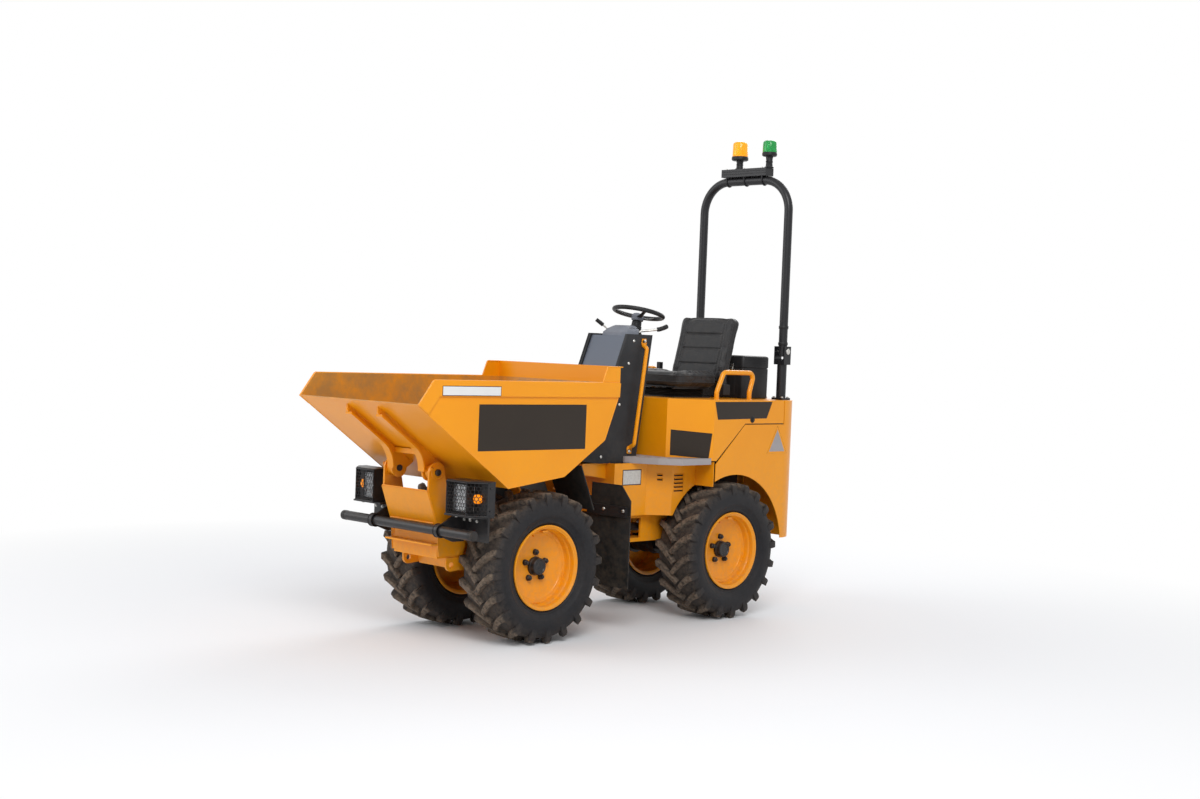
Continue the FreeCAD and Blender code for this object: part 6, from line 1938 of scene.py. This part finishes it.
@dataclass
class Seat(Assembly):
    """Cushions filled by simulation, with sewn channels and piping, on a sprung base."""

    ride: Ride = Ride.HOOD
    pads: tuple = (Pad("seat_pad", "seat_cushion", ((410, 1322), (584, 1326), (762, 1323)), 214, (33, 33),
                       11, (90, 180, 270)), Pad("back_pad", "seat_back",
                                                ((806, 1296), (824, 1380), (860, 1500), (893, 1640),
                                                 (902, 1684)), 204, (28, 34), 11, (110, 200, 290)))
    cell: float = 0.0055
    pressure: float = 4.0
    frames: int = 20
    seam_depth: float = 7.0
    box: tuple = (235.6, 930.4, 1167.6)
    toolbox_ribs: tuple = (-170, -110, -50, 50, 110, 170)
    strap_line: tuple = ((238, 762, 1300), (238, 754, 1330), (236, 742, 1360), (234, 730, 1384))

    def fill(self, made: bpy.types.Object, cap: float) -> None:
        """Blows the slack shape up with cloth.

        Args:
            made: The cushion.
            cap: How far a point may move, in metres.
        """
        scene = bpy.context.scene
        before = [vert.co.copy() for vert in made.data.vertices]
        cloth = made.modifiers.new("cloth", "CLOTH")
        settings = cloth.settings
        settings.quality, settings.mass, settings.bending_stiffness = 5, 0.3, 0.4
        settings.tension_stiffness = settings.compression_stiffness = 12.0
        settings.use_pressure, settings.uniform_pressure_force = True, self.pressure
        settings.effector_weights.gravity = 0.0
        cloth.collision_settings.use_self_collision = False
        for number in range(1, self.frames + 1):
            scene.frame_set(number)
        shaped = bpy.data.meshes.new_from_object(made.evaluated_get(bpy.context.evaluated_depsgraph_get()))
        places = [vert.co.copy() for vert in shaped.vertices]
        made.modifiers.remove(cloth)
        bpy.data.meshes.remove(shaped)
        scene.frame_set(1)
        for vert, old, new in zip(made.data.vertices, before, places):
            move = new - old
            vert.co = old + move * min(1.0, cap / max(move.length, 1e-9))

    def sew(self, made: bpy.types.Object, pad: Pad) -> None:
        """Presses the sewn channels into the front face.

        Args:
            made: The cushion.
            pad: Its sizes.
        """
        for vert in made.data.vertices:
            spot = Vector(((vert.co.y - PIVOT_Y) * 1000, vert.co.z * 1000))
            _, place, way, foot = pad.nearest(spot)
            face, x = Vector((-way.y, way.x)), abs(vert.co.x * 1000)
            if (spot - foot).dot(face) < 6:
                continue
            seams = [x - pad.bolster] + [place - seam for seam in pad.seams if x < pad.bolster]
            sink = max(self.seam_depth * math.exp(-(gap / 4.5) ** 2) for gap in seams)
            crown = 1.6 * abs(math.sin(place * 0.035)) if x < pad.bolster else 0.0
            vert.co += Vector((0, face.x, face.y)) * ((crown - sink) / 1000)

    @staticmethod
    def piping(made: bpy.types.Object, pad: Pad, offset: float) -> Form:
        """Lays a corded edge on the finished cushion.

        Args:
            made: The cushion.
            pad: Its sizes.
            offset: How far it lies before the middle, in millimetres.

        Returns:
            The corded edge.
        """
        data = made.data
        tree = BVHTree.FromPolygons([vert.co for vert in data.vertices],
                                    [tuple(f.vertices) for f in data.polygons])
        first, last = Vector(pad.spine[0]), Vector(pad.spine[-1])
        way, half = (last - first).normalized(), (last - first).length / 2
        middle = first.lerp(last, 0.5) + Vector((-way.y, way.x)) * offset
        line = []
        for number in range(120):
            turn = math.tau * number / 120
            u, v = (math.copysign(abs(part) ** 0.4, part) * reach
                    for part, reach in ((math.cos(turn), pad.half_width + 60), (math.sin(turn), half + 60)))
            start = at(u, middle.x + way.x * v, middle.y + way.y * v)
            goal = at(u * 0.55, middle.x + way.x * v * 0.55, middle.y + way.y * v * 0.55)
            hit = tree.ray_cast(start, (goal - start).normalized())[0]
            if hit is not None:
                line.append(hit)
        count = len(line)
        smooth = [sum((line[(number + step) % count] for step in range(-2, 3)), Vector()) / 5
                  for number in range(count)]
        normal = Vector((0, -way.y, way.x))
        return Form().sweep([set_up(spot, smooth[(number + 1) % count] - smooth[number - 1], normal, 0.0034,
                                    0.0034) for number, spot in enumerate(smooth)], 10, closed=True)

    def cushions(self) -> None:
        """Makes both cushions."""
        for pad in self.pads:
            made = self.piece(pad.name, pad.start(), Finish.SEAT, angle=180.0, over=(pad.node,))
            made.data.remesh_voxel_size = self.cell
            bpy.context.view_layer.objects.active = made
            bpy.ops.object.voxel_remesh()
            self.fill(made, pad.cap / 1000)
            self.sew(made, pad)
            made.data.shade_smooth()
            for name, offset in (("front", 20.0), ("rear", -14.0)):
                self.piece(f"{pad.name}_piping_{name}", self.piping(made, pad, offset), Finish.SEAT,
                               angle=180.0)
            smooth = made.modifiers.new("smooth", "SUBSURF")
            smooth.levels = smooth.render_levels = 1

    def base(self) -> None:
        """Rails, folded rubber boot, plates and knob under the cushion."""
        plates = Form().box(at(-158, 432, 1220.4), at(158, 738, 1227)).box(at(-158, 432, 1276),
                                                                           at(158, 738, 1283.6))
        for x in (-150, 138):
            plates.box(at(x, 434, 1268), at(x + 12, 736, 1276))
        self.piece("seat_plates", plates, Finish.BLACK, edge=0.0012, over=("seat_base",))
        levels = []
        for number in range(11):
            half, front, end = (143, 446, 724) if number % 2 else (132, 457, 713)
            levels.append((1227 + number * 4.1, -half, half, front, end))
        self.piece("seat_boot", Form().stack(levels, 30), Finish.RUBBER, angle=60.0)
        knob = Form().rod(at(-158, 470, 1272), at(-176, 470, 1272), 0.0045, 12)
        knob.rod(at(-174, 470, 1272), at(-196, 470, 1272), 0.013, 24, chamfer=0.002)
        self.piece("seat_knob", knob, Finish.BLACK_PLASTIC, angle=40.0)

    def belt(self) -> None:
        """Retractor, buckle and the parked strap."""
        parts = Form().box(at(226, 742, 1240), at(252, 800, 1300)).box(at(-245, 712, 1350),
                                                                       at(-219, 740, 1412))
        parts.pipe(rounded([at(-232, 742, 1242), at(-236, 736, 1300), at(-232, 728, 1356)], 0.02), 0.007,
                   12)
        parts.box(at(227, 716, 1378), at(241, 740, 1402))
        self.piece("belt_fittings", parts, Finish.BLACK_PLASTIC, edge=0.003)
        line = [at(*place) for place in self.strap_line]
        strap = Form().sweep([set_up(spot, after - before, BACK, 0.031,
                                     0.0013) @ Matrix.Rotation(math.pi / 4, 4, "Z") for before, spot,
                              after in zip([line[0]] + line, line, line[1:] + [line[-1]])], 4)
        self.piece("belt_strap", strap, Finish.SEAT, edge=0.0004)

    def toolbox(self) -> None:
        """Moulded box behind the seat: ribs, lid with its seam and latches."""
        low, high = 1220.4, 1469.6
        half, front, end = self.box
        form = Form().stack([(height, inset - half, half - inset, front + inset, end - inset) for height,
                             inset in ((low, 6), (low + 4, 2), (1392, 1), (1396, 4), (1399, 4), (1401, 0),
                                       (high - 14, 0), (high - 6, 3), (high - 1, 12), (high - 4, 26),
                                       (high - 4.5, 60))], 22)
        for x in self.toolbox_ribs:
            form.box(at(x - 4, front + 0.4, low + 14), at(x + 4, front + 4, 1384))
            form.box(at(x - 4, end - 4, low + 14), at(x + 4, end - 0.4, 1384))
        self.piece("toolbox_dress", form, Finish.BLACK_PLASTIC, edge=0.002, over=("toolbox",))
        latches = Form()
        for x in (-140, 140):
            latches.box(at(x - 18, front - 1.2, 1378), at(x + 18, front + 3, 1420))
            latches.box(at(x - 14, front - 3.4, 1384), at(x + 14, front - 1.2, 1404))
        self.piece("toolbox_latches", latches, Finish.ZINC, edge=0.0012)

    def rails(self) -> None:
        """Welded feet under the deck rails."""
        feet = Form()
        for y in (546, 826):
            feet.lathe([(0.2, 13.6), (0.2, 17.5), (1.6, 17), (3.4, 14.6), (3.8, 13.6)], at(372, y, 1220),
                       UP, 32)
        self.piece("rail_feet", feet.mirror(), Finish.YELLOW, angle=60.0)

    def build(self) -> None:
        """Dresses the deck."""
        self.cushions()
        self.base()
        self.belt()
        self.toolbox()
        self.rails()


@dataclass(frozen=True)
class Lamp:
    """A soft lamp: its place in metres, its width and its power."""

    name: str
    place: tuple[float, float, float]
    spread: float
    power: float


@dataclass
class Studio:
    """Floor, surroundings, lamps and camera; lengths in metres, angles in degrees."""

    lamps: tuple = (Lamp("key", (5.5, -4.5, 6.5), 4.0, 430.0), Lamp("fill", (-4.5, -6.0, 4.0), 5.0, 170.0),
                    Lamp("back", (-2.0, 6.0, 5.0), 4.0, 200.0))
    aim: tuple = (0, 0, 0.9)
    floor_size: float = 60.0
    floor_colour: tuple = (0.86, 0.86, 0.87)
    fade: tuple = (2.2, 5.0)
    glow: tuple = (0.93, 0.96, 1.0)
    glow_strength: float = 0.50
    place: tuple = (5.664, -6.844, 1.493)
    turn: float = 5.4
    azimuth: float = 39.57
    pitch: float = -1.89
    roll: float = 2.23
    lens: float = 48.909

    @staticmethod
    def seen(tree: bpy.types.NodeTree) -> Socket:
        """Finds the rays that show the backdrop: camera, glossy and transmission rays.

        Args:
            tree: The nodes.

        Returns:
            One for these rays.
        """
        rays, total = tree.nodes.new("ShaderNodeLightPath"), None
        for name in ("Is Camera Ray", "Is Glossy Ray", "Is Transmission Ray"):
            if total is None:
                total = rays.outputs[name]
                continue
            both = tree.nodes.new("ShaderNodeMath")
            both.operation = "MAXIMUM"
            tree.links.new(total, both.inputs[0])
            tree.links.new(rays.outputs[name], both.inputs[1])
            total = both.outputs[0]
        return total

    def floor(self) -> None:
        """A floor that keeps the shadow and fades to white away from the machine."""
        t = Tree("floor")
        t.set(Base_Color=self.floor_colour, Roughness=0.9)
        spot = t.parts(t.place)
        away = t.math("SQRT", t.math("ADD", t.times(spot["X"], spot["X"]), t.times(spot["Y"], spot["Y"])))
        share = t.times(t.ramp(away, *self.fade), self.seen(t.tree))
        white, both = t.node("ShaderNodeEmission"), t.node("ShaderNodeMixShader")
        t.link(share, both.inputs["Fac"])
        t.link(t.shader.outputs["BSDF"], both.inputs[1])
        t.link(white.outputs["Emission"], both.inputs[2])
        t.link(both.outputs[0], t.output.inputs["Surface"])
        sheet = bmesh.new()
        bmesh.ops.create_grid(sheet, x_segments=1, y_segments=1, size=self.floor_size / 2)
        data = bpy.data.meshes.new("floor")
        sheet.to_mesh(data)
        sheet.free()
        data.materials.append(t.material)
        made = bpy.data.objects.new("floor", data)
        bpy.context.scene.collection.objects.link(made)

    def light(self) -> None:
        """Soft lamps and pale surroundings that show as white."""
        for lamp in self.lamps:
            data = bpy.data.lights.new(lamp.name, "AREA")
            data.size, data.energy = lamp.spread, lamp.power
            made = bpy.data.objects.new(lamp.name, data)
            made.location = lamp.place
            made.rotation_mode = "QUATERNION"
            made.rotation_quaternion = (Vector(self.aim) - Vector(lamp.place)).to_track_quat("-Z", "Y")
            bpy.context.scene.collection.objects.link(made)
        world = bpy.data.worlds.new("white")
        bpy.context.scene.world = world
        world.use_nodes = True
        tree = world.node_tree
        tree.nodes.clear()
        output, both = tree.nodes.new("ShaderNodeOutputWorld"), tree.nodes.new("ShaderNodeMixShader")
        for number, (colour, strength) in enumerate(((self.glow, self.glow_strength),
                                                     ((1.0, 1.0, 1.0), 1.0))):
            sky = tree.nodes.new("ShaderNodeBackground")
            sky.inputs["Color"].default_value, sky.inputs["Strength"].default_value = (*colour,
                                                                                       1.0), strength
            tree.links.new(sky.outputs[0], both.inputs[number + 1])
        tree.links.new(self.seen(tree), both.inputs["Fac"])
        tree.links.new(both.outputs[0], output.inputs["Surface"])

    def camera(self) -> None:
        """The photograph's viewpoint, turned halfway between the two chassis' headings."""
        turn = math.radians(self.turn)
        place = Matrix.Rotation(turn, 3, "Z") @ Vector(self.place)
        azimuth = math.radians(self.azimuth) + turn
        pitch, roll = math.radians(self.pitch), math.radians(self.roll)
        forward = Vector((-math.sin(azimuth) * math.cos(pitch), math.cos(azimuth) * math.cos(pitch),
                          math.sin(pitch)))
        level = Vector((math.cos(azimuth), math.sin(azimuth), 0))
        upright = level.cross(forward)
        right = level * math.cos(roll) + upright * math.sin(roll)
        above = upright * math.cos(roll) - level * math.sin(roll)
        data = bpy.data.cameras.new("camera")
        data.sensor_width, data.lens = 36.0, self.lens
        made = bpy.data.objects.new("camera", data)
        axes = Matrix((right, above, -forward)).transposed().to_4x4()
        made.matrix_world = Matrix.Translation(place + Vector((0, PIVOT_Y, 0))) @ axes
        bpy.context.scene.collection.objects.link(made)
        bpy.context.scene.camera = made


@dataclass
class Dumper:
    """The frame's nodes with their finishes, and the sub-assemblies that dress them."""

    frame: dict
    materials: dict[Finish, bpy.types.Material]
    edge: float = 0.0014

    def finish_nodes(self) -> None:
        """Gives each CAD node its finish, and eases the plates' edges."""
        for finish, nodes in NODE_FINISH.items():
            for node in nodes:
                target = self.frame["nodes"][node]
                target.data.materials.clear()
                target.data.materials.append(self.materials[finish])
        for node in FOLDED:
            ease(self.frame["nodes"][node], self.edge)

    def build(self) -> None:
        """Builds the sub-assemblies in order."""
        self.finish_nodes()
        for assembly in (Wheels, Skip, Front, Console, Body, Bar, Rams, Seat):
            LOG.info("sub-assembly %s", assembly.__name__)
            assembly(self.materials).build()


def main() -> None:
    """Builds the whole scene."""
    logging.basicConfig(level=logging.INFO, format="%(message)s")
    bpy.ops.object.select_all(action="SELECT")
    bpy.ops.object.delete()
    bpy.context.scene.view_settings.view_transform = "Standard"
    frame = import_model()
    Dumper(frame, {finish.kind: finish.build() for finish in FINISHES}).build()
    studio = Studio()
    studio.floor()
    studio.light()
    studio.camera()


if __name__ == "__main__":
    main()
